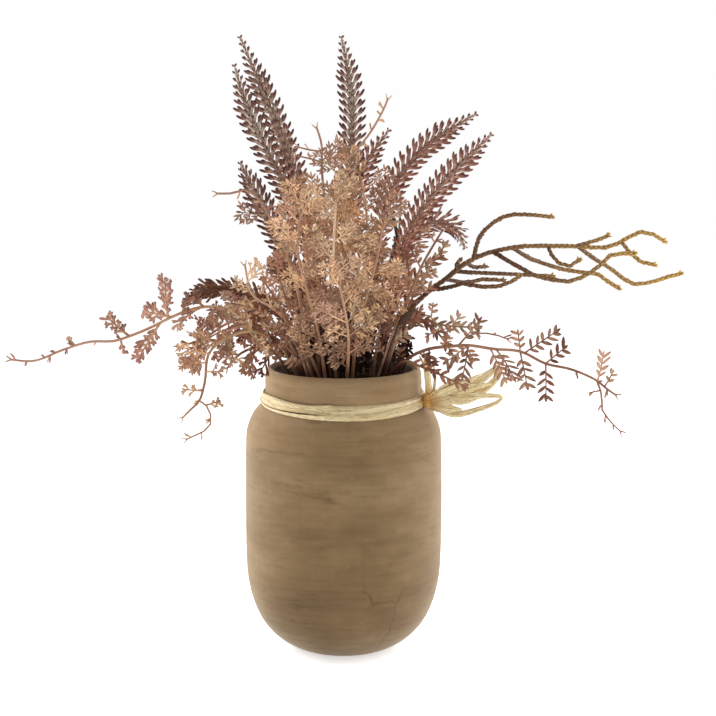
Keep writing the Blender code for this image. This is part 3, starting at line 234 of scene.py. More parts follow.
# The raffia knot, and the flat strips of the bow: route, and widths along it.
KNOT = (47.3, -13.1, 145.8)
BOW = [
    ([(47.3, -13.3, 145.6), (48.0, -14.3, 153), (47.5, -14, 160), (46.8, -13, 168), (45, -12, 174)], [3.0,
        3.4, 3.6, 3.0, 1.2]),
    ([(48, -13.6, 146), (50.8, -15.6, 152), (51.5, -17, 160), (51, -17, 166)], [1.6, 1.8, 1.6, 1.0]),
    ([(47.6, -13.2, 145.6), (59, -17, 149), (70, -19, 154), (79, -20, 160), (86, -19, 165), (88, -17, 164),
        (84, -14, 156), (74, -12, 149), (61, -12.5, 145.4), (47.8, -13, 145)], [3.6, 4.2, 4.6, 4.4, 3.0,
        3.0, 3.8, 3.6, 3.0, 2.4]),
    ([(47.6, -13.5, 145.6), (62, -19, 148.5), (74, -22, 150), (84, -22, 150), (89, -20, 149),
        (86, -17, 145), (76, -15, 141), (65, -14, 138), (57.5, -14, 139.4), (48.3, -13.3, 144.6)], [3.0,
        3.6, 3.4, 2.8, 1.8, 1.8, 2.4, 3.0, 3.4, 3.0]),
    ([(47.8, -13.8, 146), (55.5, -20, 153), (61, -23, 158), (66, -25, 163)], [3.4, 4.2, 3.6, 1.4]),
    ([(47.6, -13.8, 145.6), (60, -22, 147.5), (69, -27, 148), (77, -30, 151)], [3.6, 4.4, 3.6, 1.4]),
]
# Wider loose strands between the bow's strips.
BOW_FILL = [
    ([(47.8, -14.6, 144.6), (54, -17.5, 143.2), (60, -18.5, 142.0), (67, -18, 141.5)], [4.5, 5.2, 4.0,
        1.0]),
    ([(47.6, -13.8, 146), (60, -20.5, 150.5), (72, -23.5, 155), (83, -23.5, 157)], [3.6, 5.2, 4.6, 1.0]),
    ([(47.6, -14, 146.3), (58, -21.5, 152), (68, -24.5, 157.5), (78, -24, 163)], [3.4, 4.6, 4.0, 0.9]),
    ([(47.6, -13.4, 146), (47.4, -16.2, 156), (45.6, -17, 166), (42.5, -17, 172)], [2.4, 2.6, 2.2, 0.8]),
]
# The way the bow's strips face.
BOW_FACES = Vector((0.35, -1.0, 0.1)).normalized()
# The strands wound round the neck: share of the band's height, half width, and how deep each lies in it.
RAFFIA_STRANDS = [(0.04, 1.5, 0.25), (0.22, 1.7, 0.13), (0.4, 1.8, 0.25), (0.58, 1.8, 0.13),
    (0.76, 1.7, 0.25), (0.95, 1.5, 0.13), (0.5, 3.2, 0.55)]

# Sprays that stand among the modelled ones: look, length of a leaf, half the width of a blunt lobe or 0, and
# the route of the stem.
FILLERS = {
    "tan_filigree_gap": ("leaf_tan", 19, 0.0, [(11, -4, 159), (13, -8, 197), (14, -9, 225), (13, -8, 250),
        (10, -6, 272)]),
    "tan_filigree_right": ("leaf_tan", 18, 0.0, [(16, -14, 159), (20, -22, 186), (22, -26, 203),
        (23, -27, 218)]),
    "tan_filigree_left": ("leaf_tan", 18, 0.0, [(-7, -14, 159), (-10, -20, 193), (-15, -22, 220),
        (-19, -22, 241), (-22, -21, 257)]),
    "tan_filigree_mid": ("leaf_tan", 20, 0.0, [(2, -20, 159), (5, -30, 193), (9, -34, 215), (5, -33, 236),
        (0, -31, 252)]),
    "tan_filigree_back": ("leaf_tan", 18, 0.0, [(5, 14, 159), (8, 18, 199), (9, 20, 227), (8, 20, 253)]),
    "leafy_low_left": ("leaf_rust", 15, 0.0, [(-21, -10, 159), (-28, -20, 184), (-37, -26, 196),
        (-48, -28, 202)]),
    "leafy_rim_left": ("leaf_brown", 13, 0.0, [(-19, -22, 159), (-26, -32, 180), (-34, -38, 187),
        (-43, -40, 187)]),
    "leafy_left_low": ("leaf_ochre", 13, 0.66, [(-23, -12, 159), (-36, -24, 181), (-52, -34, 189),
        (-66, -38, 185), (-80, -40, 178)]),
    "leafy_left_mid": ("leaf_brown", 14, 0.66, [(-24, -4, 159), (-38, -10, 180), (-54, -14, 189),
        (-70, -16, 185), (-84, -18, 176)]),
    "leafy_left_dark": ("leaf_rust", 14, 0.0, [(-17, -23, 159), (-25, -37, 188), (-31, -45, 207),
        (-36, -48, 224)]),
    "leafy_left_back": ("leaf_rose", 15, 0.0, [(-23, 4, 159), (-36, 8, 179), (-52, 12, 186), (-68, 14, 180),
        (-80, 14, 169)]),
    "leafy_right_mid": ("leaf_brown", 14, 0.0, [(19, -18, 159), (27, -28, 185), (33, -32, 201),
        (38, -33, 211)]),
}

# Sprays that are one long leaf with pointed leaflets in pairs: look, length of a leaflet, route.
PAIRED = {
    "leafy_right_upright": ("leaf_rust", 6.6, [(20, -6, 159), (28, -14, 180), (35, -20, 200),
        (37, -22, 215), (35, -23, 231)]),
    "leafy_right_olive": ("leaf_olive", 6.6, [(21, -4, 159), (31, -12, 185), (40, -18, 208), (48, -20, 222),
        (56, -21, 234)]),
    "leafy_right_drop": ("leaf_rust", 6.2, [(20, 0, 159), (30, -6, 182), (40, -12, 193), (50, -16, 188),
        (57, -18, 180), (62, -18, 172)]),
    "leafy_right_level": ("leaf_olive", 6.0, [(22, 2, 159), (34, -4, 184), (46, -8, 190), (58, -10, 188),
        (74, -10, 187)]),
    "leafy_right_hanging": ("leaf_rust", 6.0, [(24, -12, 159), (34, -18, 169), (44, -26, 167),
        (55, -31, 163), (66, -33, 158)]),
    "leafy_left_hanging": ("leaf_rust", 5.4, [(-20, -16, 159), (-30, -26, 177), (-42, -34, 181),
        (-51, -38, 175), (-55, -38, 168)]),
    "leafy_left_upright": ("leaf_rust", 6.0, [(-16, -20, 159), (-27, -34, 186), (-35, -42, 204),
        (-43, -44, 217)]),
    "leafy_left_tan": ("leaf_ochre", 5.4, [(-20, -14, 159), (-34, -32, 188), (-45, -42, 200),
        (-55, -44, 204), (-62, -44, 203)]),
}

# One broad dark leaf low on the right: the route of its stalk, then its tip.
BROAD_LEAF = ([(21, -14, 159), (27, -28, 180), (31, -37, 193)], (41, -40, 203))
# The pale stem that stands out at the front of the middle.
PALE_STEM = [(-4, -18, 159), (-6, -28, 188), (-6, -44, 213), (-5, -50, 238), (-4, -47, 262)]
# Short dark tufts that hide the foam between the stems, and how they lean outwards as they rise.
TUFTS = 30
TUFT_CURVE = ((0, 154), (1, 161), (3, 169), (6, 177))

# Each foliage's colours: stops from foot to tip, the specks, how uneven, and the colour of odd leaves.
FOLIAGE = {
    "plume_grey": ([(0.0, (0.62, 0.5, 0.4)), (0.42, (0.6, 0.46, 0.37)), (0.58, (0.19, 0.092, 0.072)),
        (0.8, (0.06, 0.021, 0.017))], (0.3, 0.14, 0.1), 0.7),
    "plume_rose": ([(0.0, (0.66, 0.46, 0.36)), (0.44, (0.62, 0.4, 0.31)), (0.6, (0.27, 0.115, 0.085)),
        (0.84, (0.095, 0.032, 0.024))], (0.42, 0.2, 0.14), 0.7),
    "plume_rust": ([(0.0, (0.38, 0.23, 0.15)), (0.4, (0.26, 0.125, 0.075)), (0.8, (0.065, 0.022, 0.014))],
        (0.34, 0.15, 0.06), 1.0),
    "leaf_brown": ([(0.0, (0.36, 0.165, 0.095)), (0.5, (0.46, 0.235, 0.15)), (0.8, (0.33, 0.13, 0.082)),
        (1.0, (0.15, 0.046, 0.03))], (0.62, 0.42, 0.27), 0.95, (0.2, 0.07, 0.042)),
    "leaf_ochre": ([(0.0, (0.46, 0.27, 0.145)), (0.5, (0.52, 0.31, 0.17)), (0.8, (0.42, 0.22, 0.11)),
        (1.0, (0.2, 0.085, 0.045))], (0.66, 0.47, 0.28), 0.9, (0.26, 0.11, 0.065)),
    "leaf_rose": ([(0.0, (0.6, 0.36, 0.21)), (0.14, (0.52, 0.29, 0.17)), (0.3, (0.42, 0.215, 0.155)),
        (0.8, (0.33, 0.145, 0.105)), (1.0, (0.17, 0.062, 0.045))], (0.58, 0.38, 0.27), 0.9,
        (0.36, 0.16, 0.11)),
    "leaf_rust": ([(0.0, (0.36, 0.15, 0.085)), (0.5, (0.37, 0.15, 0.088)), (1.0, (0.13, 0.04, 0.026))],
        (0.52, 0.3, 0.18), 1.0, (0.2, 0.07, 0.043)),
    "leaf_pale": ([(0.0, (0.64, 0.42, 0.24)), (0.5, (0.74, 0.5, 0.32)), (1.0, (0.58, 0.36, 0.22))],
        (0.5, 0.32, 0.18), 0.8, (0.52, 0.32, 0.21)),
    "leaf_dusk": ([(0.0, (0.58, 0.36, 0.215)), (0.5, (0.62, 0.39, 0.25)), (1.0, (0.4, 0.21, 0.13))],
        (0.36, 0.17, 0.11), 1.0, (0.36, 0.185, 0.135)),
    "leaf_tan": ([(0.0, (0.66, 0.42, 0.235)), (0.5, (0.74, 0.49, 0.29)), (1.0, (0.5, 0.28, 0.155))],
        (0.42, 0.2, 0.12), 1.0, (0.42, 0.235, 0.165)),
    "leaf_olive": ([(0.0, (0.44, 0.29, 0.15)), (0.5, (0.5, 0.34, 0.2)), (1.0, (0.28, 0.16, 0.09))],
        (0.26, 0.2, 0.1), 0.9, (0.34, 0.2, 0.12)),
    "leaf_straw": ([(0.0, (0.74, 0.51, 0.3)), (0.5, (0.76, 0.53, 0.34)), (1.0, (0.56, 0.34, 0.2))],
        (0.5, 0.3, 0.18), 0.9, (0.6, 0.4, 0.28)),
    "leaf_dark": ([(0.0, (0.2, 0.085, 0.055)), (0.6, (0.17, 0.062, 0.04)), (1.0, (0.06, 0.02, 0.013))],
        (0.1, 0.075, 0.03), 1.0, (0.1, 0.055, 0.03)),
}
# A plume's tint up its stem: rosier below.
ROSY = [(0.4, (1.13, 0.95, 0.91)), (0.85, (0.97, 1.0, 1.0))]
# Painted shade: leaves and stems are painted darker down in the mouth, where shade falls: tenths of a metre
# from it, and the shade there.
MOUTH = (0.0, 0.0, 0.150)
MOUTH_PAINTED_SHADE = [(0.22, (0.17, 0.12, 0.11)), (0.4, (0.36, 0.27, 0.25)), (0.72, (1, 1, 1))]

CLAY_DARK = (0.165, 0.103, 0.050)
CLAY_MID = (0.218, 0.140, 0.070)
CLAY_PALE = (0.280, 0.190, 0.105)
CLAY_SCRATCH = (0.52, 0.43, 0.31)
# The clay's painted light and shade up the jar, in sixths of a metre: painted shade darker at the foot,
# painted light paler at the neck.
CLAY_PAINTED_LIGHT_BY_HEIGHT = [(0.0, (0.5, 0.48, 0.44)), (0.1, (0.72, 0.71, 0.68)), (0.32, (0.95, 0.95, 0.94)),
    (0.68, (1.04, 1.04, 1.04)), (0.8, (1.2, 1.2, 1.19)), (0.92, (1.2, 1.2, 1.2))]
# Painted shade on the inside wall of the jar, darker than the outside.
CLAY_INSIDE_PAINTED_SHADE = [(0.0, (1, 1, 1)), (1.0, (0.17, 0.14, 0.13))]
RAFFIA_DARK = (0.42, 0.28, 0.11)
RAFFIA_MID = (0.77, 0.63, 0.36)
RAFFIA_PALE = (0.94, 0.85, 0.60)
# The shade of each strand, by its chance number.
RAFFIA_TONES = [(0.0, (0.86, 0.80, 0.68)), (0.5, (1, 1, 1)), (1.0, (1.06, 1.05, 1.0))]
# The twig's bark from the trunk to the tips.
TWIG_BARK = [(0.0, (0.085, 0.040, 0.026)), (0.40, (0.205, 0.105, 0.060)), (0.64, (0.380, 0.225, 0.098)),
             (0.84, (0.55, 0.35, 0.125)), (1.0, (0.70, 0.45, 0.135))]
# The green stems' slots, and their darkest and palest colour.
GREEN_LOOKS = {"green_stem_dark": ("stem_dark_green", (0.010, 0.026, 0.012), (0.030, 0.070, 0.030)),
               "green_stem_light": ("stem_light_green", (0.10, 0.20, 0.05), (0.22, 0.33, 0.11))}

# The studio's lamps: place, size and power, in metres and watts, and the spot that they face.
LAMPS = {"left_softbox": ((-0.80, 0.30, 0.40), 0.7, 9.0), "right_softbox": ((0.80, 0.30, 0.40), 0.7, 8.0),
         "front_fill": ((0.1, -1.3, 0.75), 0.8, 1.5)}
LAMP_AIM = Vector((0, 0, 0.14))
FLOOR_HALF = 6
FLOOR_GLOW = 0.52
# The photograph's scale and view, in metres and degrees, and the camera's sensor in millimetres.
PICTURE_PIXELS = 716
PIXELS_PER_MM = 1.759
SENSOR = 36.0
CAMERA_AWAY = 1.5
CAMERA_TILT = 9.0
AIM_X = 0.00824
AIM_Z = 0.168


def lengths_along(line):
    """The distance along a line to each of its points."""
    lengths = [0.0]
    for a, b in zip(line, line[1:]):
        lengths.append(lengths[-1] + (b - a).length)
    return lengths


def at_length(line, lengths, s):
    """The point at distance s along a line."""
    for i in range(1, len(line)):
        if s <= lengths[i] or i == len(line) - 1:
            t = (s - lengths[i - 1]) / max(1e-9, lengths[i] - lengths[i - 1])
            return line[i - 1].lerp(line[i], min(1.0, max(0.0, t)))


def even(line, count):
    """A line as count evenly spaced points."""
    lengths = lengths_along(line)
    return [at_length(line, lengths, lengths[-1] * k / (count - 1)) for k in range(count)]


def spaced(line, step):
    """A line as evenly spaced points about one step apart."""
    return even(line, max(2, round(lengths_along(line)[-1] / step) + 1))


def smooth_line(points, step):
    """A smooth line through the points, as evenly spaced vectors about one step apart."""
    pts = [Vector(p) for p in points]
    ends = [pts[0] * 2 - pts[1]] + pts + [pts[-1] * 2 - pts[-2]]
    dense = []
    for p0, p1, p2, p3 in zip(ends, ends[1:], ends[2:], ends[3:]):
        for k in range(12):
            t = k / 12
            dense.append(0.5 * (2 * p1 + (p2 - p0) * t + (2 * p0 - 5 * p1 + 4 * p2 - p3) * t ** 2
                                + (3 * p1 - p0 - 3 * p2 + p3) * t ** 3))
    dense.append(pts[-1])
    return spaced(dense, step)


def frames(line):
    """The direction and two steady side directions at each point of a line."""
    out = []
    side = None
    for i in range(len(line)):
        t = (line[min(i + 1, len(line) - 1)] - line[max(i - 1, 0)]).normalized()
        if side is None:
            side = t.orthogonal()
        side = (side - t * side.dot(t)).normalized()
        out.append((t, side.copy(), t.cross(side)))
    return out


def nearest(line, point):
    """The point of a chain of straight runs that lies nearest to a point."""
    found = None
    for a, b in zip(line, line[1:]):
        run = b - a
        share = min(1.0, max(0.0, (point - a).dot(run) / max(run.length_squared, 1e-9)))
        spot = a + run * share
        if found is None or (spot - point).length < (found - point).length:
            found = spot
    return found


def joined(stem, route, step):
    """A side branch's smooth line, with its start moved onto the stem."""
    return smooth_line([nearest(stem, Vector(route[0])), *route[1:]], step)


def with_foot(foot, line, step):
    """A stem's line thinned to the step, with its straight foot in the foam added."""
    return [Vector((*foot, FOOT_Z)), Vector((*foot, FOAM_TOP))] + spaced(line, step)[1:]


def narrowing(line, thick, taper, power=1.0):
    """A radius at each point of a line: thick at the foot, and less by the taper at the tip."""
    return [thick - taper * (k / len(line)) ** power for k in range(len(line))]


def scatter(rng, spread):
    return Vector([rng.uniform(-spread, spread) for _ in range(3)])


class Room:
    """What space is taken: round-ended rods, each owned by one piece."""

    SPOTS = 1.2     # how far apart a new rod is tested
    NEAR = 8.0      # rods further off than this aren't looked at

    def __init__(self):
        self.a = np.zeros((0, 3))
        self.b = np.zeros((0, 3))
        self.r = np.zeros(0)
        self.owner = np.zeros(0, dtype=int)
        self.names = []

    def number(self, name):
        if name not in self.names:
            self.names.append(name)
        return self.names.index(name)

    def add(self, name, rods):
        if not rods:
            return
        self.a = np.vstack([self.a, [tuple(p) for p, q, r in rods]])
        self.b = np.vstack([self.b, [tuple(q) for p, q, r in rods]])
        self.r = np.append(self.r, [r for p, q, r in rods])
        self.owner = np.append(self.owner, [self.number(name)] * len(rods))

    def free(self, name, rods):
        """True if the rods keep clear of every other piece, of the jar and of the foam."""
        spots = []
        for p, q, radius in rods:
            p = np.array(tuple(p))
            q = np.array(tuple(q))
            count = max(2, int(np.linalg.norm(q - p) / self.SPOTS) + 1)
            for k in range(count + 1):
                spot = p + (q - p) * k / count
                if not clear_of_jar(spot, radius):
                    return False
                spots.append((*spot, radius))
        spots = np.array(spots)
        others = self.owner != self.number(name)
        others &= (np.minimum(self.a, self.b) < spots[:, :3].max(axis=0) + self.NEAR).all(axis=1)
        others &= (np.maximum(self.a, self.b) > spots[:, :3].min(axis=0) - self.NEAR).all(axis=1)
        if not others.any():
            return True
        a = self.a[others]
        d = self.b[others] - a
        dd = np.maximum((d * d).sum(axis=1), 1e-9)
        w = spots[:, None, :3] - a[None]
        t = np.clip((w * d).sum(axis=2) / dd, 0, 1)
        gap = np.linalg.norm(w - d * t[:, :, None], axis=2) - self.r[others]
        return bool((gap >= spots[:, 3][:, None] + GAP).all())


def clear_of_jar(p, radius):
    """True if a ball keeps clear of the lip, the neck, the foam and the sloping shoulder."""
    flat = math.hypot(p[0], p[1])
    room = radius + 2 * GAP
    in_mouth = flat < MOUTH_RADIUS - room and p[2] > FOAM_TOP + room
    if p[2] > LIP_TOP + room or in_mouth:
        return True
    if p[2] > NECK_FOOT:
        return flat > NECK_RADIUS + room
    if p[2] > BELLY_TOP:
        return flat > BELLY_RADIUS - SLOPE_RUN * max(0.0, (p[2] - SLOPE_FOOT) / SLOPE_RISE) + room + 1.0
    return flat > BELLY_RADIUS + room


def bar_rods(line, radius):
    return [(a, b, radius) for a, b in zip(line, line[1:])]


def spread_feet(feet):
    """Moves the stems' feet apart until neighbours have foam between them."""
    apart = 5.2
    within = 34.5
    pts = [Vector((x, y, 0)) for x, y in feet]
    for _ in range(200):
        for i in range(len(pts)):
            for j in range(i):
                d = pts[i] - pts[j]
                if d.length < apart:
                    push = d.normalized() * (apart - d.length) * 0.5
                    pts[i] += push
                    pts[j] -= push
        for p in pts:
            if p.length > within:
                p *= within / p.length
    return [(p.x, p.y) for p in pts]


def part_stems(lines, roots, reach):
    """Eases the stems' lines apart where two pass too close, keeping their feet."""
    count = 44
    n = len(lines)
    pts = np.array([[tuple(v) for v in even(line, count)] for line in lines])
    grip = np.linspace(0, 1, count)
    hold = np.clip(grip * 6.0, 0, 1)
    ids = np.repeat(np.arange(n), count)
    need = reach[ids] * np.clip(0.35 + np.tile(grip, n), 0, 1)
    for _ in range(70):
        flat = pts.reshape(-1, 3)
        move = np.zeros_like(flat)
        for i in range(n):
            want = np.minimum(need[ids == i][:, None], need[ids != i][None, :] + 1.5) + roots[i] + 1.0
            move[ids == i] = eased(pts[i], flat[ids != i], want, hold)
        pts = (flat + move).reshape(n, count, 3)
        keep_in_neck(pts)
    return [[Vector(p) for p in line] for line in pts]


def eased(mine, others, want, hold):
    """How one stem's points move off the points that come closest, smoothed along the stem."""
    d = mine[:, None, :] - others[None, :, :]
    short = np.clip(want - np.linalg.norm(d, axis=2), 0, None)
    d[:, :, 1] *= 1.6
    unit = d / np.maximum(np.linalg.norm(d, axis=2), 1e-6)[:, :, None]
    worst = short.argmax(axis=1)
    rows = np.arange(len(mine))
    step = unit[rows, worst] * short[rows, worst][:, None] * 0.35
    step *= hold[:, None]
    kernel = np.array([0.05, 0.12, 0.2, 0.26, 0.2, 0.12, 0.05])
    for axis in range(3):
        step[:, axis] = np.convolve(step[:, axis], kernel, mode="same")
    return step


def keep_in_neck(pts):
    """Draws points that would touch the neck back inside it."""
    inner, outer, top = 36.5, 44.6, 167
    for line in pts:
        for p in line:
            flat = math.hypot(p[0], p[1])
            if p[2] < top and inner < flat < outer:
                p[:2] *= inner / flat


def lay_stems():
    """Every stem's foot, line from the foam up and radius, each starting straight up out of its hole."""
    names = list(PLUMES) + list(SPRAYS) + ["twig_branch"] + list(GREEN)
    routes = [row[-1] for row in PLUMES.values()] + [row[-1][0] for row in SPRAYS.values()]
    routes += [TWIG[0][0]] + [parts[0] for parts, radius in GREEN.values()]
    radii = [PLUME_RADIUS] * len(PLUMES) + [SPRAY_RADIUS] * len(SPRAYS)
    radii += [TWIG[0][1]] + [radius for parts, radius in GREEN.values()]
    reach = [PLUME_REACH] * len(PLUMES) + [LEAF_REACH] * (len(names) - len(PLUMES))
    feet = spread_feet([route[0][:2] for route in routes])
    lines = []
    for (x, y), route in zip(feet, routes):
        start = [(x, y, FOAM_TOP + 0.5), (x, y, FOAM_TOP + 4.5)]
        lines.append(smooth_line(start + route[1:], 2.0))
    lines = part_stems(lines, np.array(radii), np.array(reach))
    stems = {}
    for name, (x, y), line, radius in zip(names, feet, lines, radii):
        line[0] = Vector((x, y, FOAM_TOP + 0.5))
        stems[name] = ((x, y), spaced(line, 2.0), radius)
    return stems


def needle_size(share):
    """A needle's length by its share of the way up the plume's needled part."""
    return LONGEST_NEEDLE * min(1.0, 0.66 + 2.4 * share, 0.20 + 2.8 * (1.0 - share))


def needle_rings(foot, line, start):
    """The solid plume's stem as rings of three corners.

    Returns the distance up the stem, middle, direction and corners of each ring, and which rings bear
    needles.
    """
    lengths = lengths_along(line)
    total = lengths[-1]
    low = total * start
    bare = max(2, round(low / 14.0))
    count = round((total - low) / 4.5)
    marks = [-1.0] + [low * k / bare for k in range(bare)]
    needled = range(len(marks), len(marks) + count)
    marks += [low + (total - low) * k / count for k in range(count)] + [total]
    path = [Vector((*foot, FOOT_Z)), Vector((*foot, FOAM_TOP))]
    path += [at_length(line, lengths, m) for m in marks[2:]]
    turn = 0.0
    rings = []
    for k, (mark, p, (t, u, v)) in enumerate(zip(marks, path, frames(path))):
        radius = PLUME_RADIUS - 0.35 * max(0.0, mark / total) if mark < total - 0.5 else 0.45
        if k > 1:
            turn += math.pi / 3
        angles = [2 * math.pi * i / 3 + turn for i in range(3)]
        corners = [p + u * (radius * math.cos(a)) + v * (radius * math.sin(a)) for a in angles]
        rings.append((mark / total, p, t, corners))
    return rings, needled


def plume_needles(name, foot, line, start, room, seed):
    """Takes the room that the solid plume's needles take."""
    rng = random.Random(seed)
    rings, needled = needle_rings(foot, line, start)
    for k in needled:
        mark, p, along, low = rings[k]
        centre = p.lerp(rings[k + 1][1], 0.5)
        share = (mark - start) / (1 - start)
        for i in range(3):
            size = needle_size(share) * rng.uniform(0.94, 1.04)
            middle = (low[i] + low[(i + 1) % 3] + rings[k + 1][3][i]) / 3
            out = middle - centre
            out = (out - along * out.dot(along)).normalized()
            lift = 0.62 + 0.55 * share ** 4 + rng.uniform(-0.08, 0.08)
            heading = (out * math.cos(lift) + along * math.sin(lift)).normalized()
            for scale in (1.0, 0.75, 0.5):
                tip = middle + heading * size * scale
                if room.free(name, [(middle + heading * 1.2, tip, 0.85)]):
                    room.add(name, [(middle, tip, 0.8)])
                    break


class Leaf:
    """Where one leaf lies: its rib from foot to tip, its lobes and the rods that it fills."""

    BELL = (0.78, 1.0, 0.92, 0.8)   # how far the lobes reach, from the foot up
    RIB = 0.55
    SLANT = 0.86

    def __init__(self, foot, tip, face, pairs, seed):
        rng = random.Random(seed)
        self.foot = foot
        self.x_dir = (tip - foot).normalized()
        self.length = (tip - foot).length
        self.z_dir = (face - self.x_dir * face.dot(self.x_dir)).normalized()
        self.y_dir = self.z_dir.cross(self.x_dir)
        self.pairs = pairs
        self.first = max(0.16 * self.length, 2.6)
        self.arch = rng.uniform(0.05, 0.14) * self.length
        self.fold = rng.uniform(0.05, 0.30)
        middle = self.place(self.length * 0.6, 0)
        self.rods = [(self.place(2.0, 0), middle, 0.75), (middle, self.place(self.length, 0), 0.85)]
        self.rods += [self.lobe(i, side, rng) for side in (1, -1) for i in range(pairs)]

    def lobe(self, i, side, rng):
        """The rod that one lobe fills, counted from the foot up its side of the rib."""
        bell = self.BELL[min(i, 3)] if self.pairs > 1 else 0.8
        reach = min(0.27 * self.length + 1.6, 6.6) * bell * rng.uniform(0.9, 1.1)
        x = self.first + (0.86 * self.length - self.first) / self.pairs * (i + 0.5)
        y = self.RIB + reach * math.sin(self.SLANT)
        tip = self.place(x + reach * math.cos(self.SLANT), y * side, rng.uniform(-0.7, 0.7))
        return self.place(x, self.RIB * side), tip, 1.05

    def place(self, x, y, lift=0.0):
        """The point x along the rib and y to its side, on the arched and folded blade."""
        share = x / self.length
        z = self.arch * 4 * share * (1 - share) * 0.5 + self.fold * abs(y) + lift
        return self.foot + self.x_dir * x + self.y_dir * y + self.z_dir * z


def lay_leaf(name, lines, foot, tip, pairs, room, seed, tries=40):
    """Finds a way for one leaf to lie that is clear of its neighbours, as the solid leaf does."""
    rng = random.Random(seed)
    stem = min((nearest(line, foot) for line in lines), key=lambda p: (p - foot).length)
    reach = tip - foot
    outward = Vector((stem.x, stem.y, 0))
    outward = outward.normalized() if outward.length > 1 else FRONT
    front = FRONT if stem.y < 10 else -FRONT
    for attempt in range(tries):
        spread = 0.0 if attempt == 0 else 0.12 + 0.022 * attempt
        length = reach.length * (1.0 if attempt < 18 else 0.8 if attempt < 30 else 0.62)
        heading = reach.normalized() + scatter(rng, spread)
        heading.normalize()
        face = front + outward * 0.5 + scatter(rng, 0.6)
        if face.cross(heading).length < 0.25:
            continue
        leaf = Leaf(stem, stem + heading * length, face, pairs, seed * 7 + 1)
        if room.free(name, leaf.rods):
            room.add(name, leaf.rods)
            return leaf
    return None


def rule_leaves(line, start, end, count, length, seed):
    """Leaf feet and tips spaced up a stem, alternating round it."""
    rng = random.Random(seed)
    out = []
    for k in range(count):
        share = start + (end - start) * k / max(1, count - 1)
        i = min(len(line) - 2, int(share * (len(line) - 1)))
        foot = line[i]
        along = (line[i + 1] - line[i]).normalized()
        side = along.cross(FRONT).normalized() * (1 if k % 2 else -1)
        depth = FRONT * rng.uniform(-0.5, 0.9)
        heading = (side * rng.uniform(0.7, 1.0) + depth + along * rng.uniform(0.5, 0.9)).normalized()
        if share > 0.95:
            heading = (along + side * 0.35).normalized()
        out.append((foot, foot + heading * length * rng.uniform(0.85, 1.1), 3))
    return out


def extra_leaves(name, line, start, end, room, rng):
    """More leaves in the gaps up a stem, where they keep clear of what is there."""
    size, apart = (15.0, 9.0) if name.startswith("tan_") else (13.0, 10.0)
    length = sum((b - a).length for a, b in zip(line, line[1:]))
    count = round(length * (end - start) / apart)
    out = []
    for base, tip, pairs in rule_leaves(line, start, end, count, size, rng.randrange(9999)):
        leaf = lay_leaf(name, [line], base, tip, pairs, room, rng.randrange(99999), 12)
        if leaf and leaf.place(leaf.length, 0.0).y > FRONT_LIMIT:
            out.append(leaf)
    return out


def branch_rods(name):
    """The rods of a piece's side branches, so that others keep off them."""
    sides = SPRAYS[name][-1][1:] if name in SPRAYS else []
    return [rod for side in sides for rod in bar_rods(smooth_line(side, 4.0), 0.75)]


def twig_rods(line):
    rods = bar_rods(line, 1.7)
    for route, start, end in TWIG[1:]:
        rods += bar_rods(joined(line, route, 4.0), 1.45)
    return rods


def raffia_rods():
    """The rods of the tie: its knot, its bow strips and its band."""
    x, y, z = KNOT
    rods = [((x, y, z - 3), (x, y, z + 3), 3.8)]
    for route, widths in BOW:
        for a, b, wide_a, wide_b in zip(route, route[1:], widths, widths[1:]):
            rods.append((a, b, max(wide_a, wide_b) / 2 + 0.2))
    angles = [2 * math.pi * i / JAR_SIDES for i in range(JAR_SIDES + 1)]
    return rods + bar_rods([(47.6 * math.cos(a), 47.6 * math.sin(a), 144.6) for a in angles], 4.2)


def raffia_band_at(a):
    """The band's section at one angle round the neck, as radius and height."""
    share = max(0.0, -math.sin(a)) ** 1.5
    lift = 0.2 + 0.2 * math.sin(2 * a + 1.0)
    return [(s[0] + (f[0] - s[0]) * share, s[1] + (f[1] - s[1]) * share + lift)
            for s, f in zip(BAND_SIDE, BAND_FRONT)]


def tube_faces(rows, sides, ring=False):
    """The quads between rows of points round a tube, with flat ends unless it is a ring."""
    faces = []
    for k in range(rows if ring else rows - 1):
        low = k * sides
        high = (k + 1) % rows * sides
        faces += [(low + i, low + (i + 1) % sides, high + (i + 1) % sides, high + i) for i in range(sides)]
    if not ring:
        faces += [tuple(reversed(range(sides))), tuple(range((rows - 1) * sides, rows * sides))]
    return faces


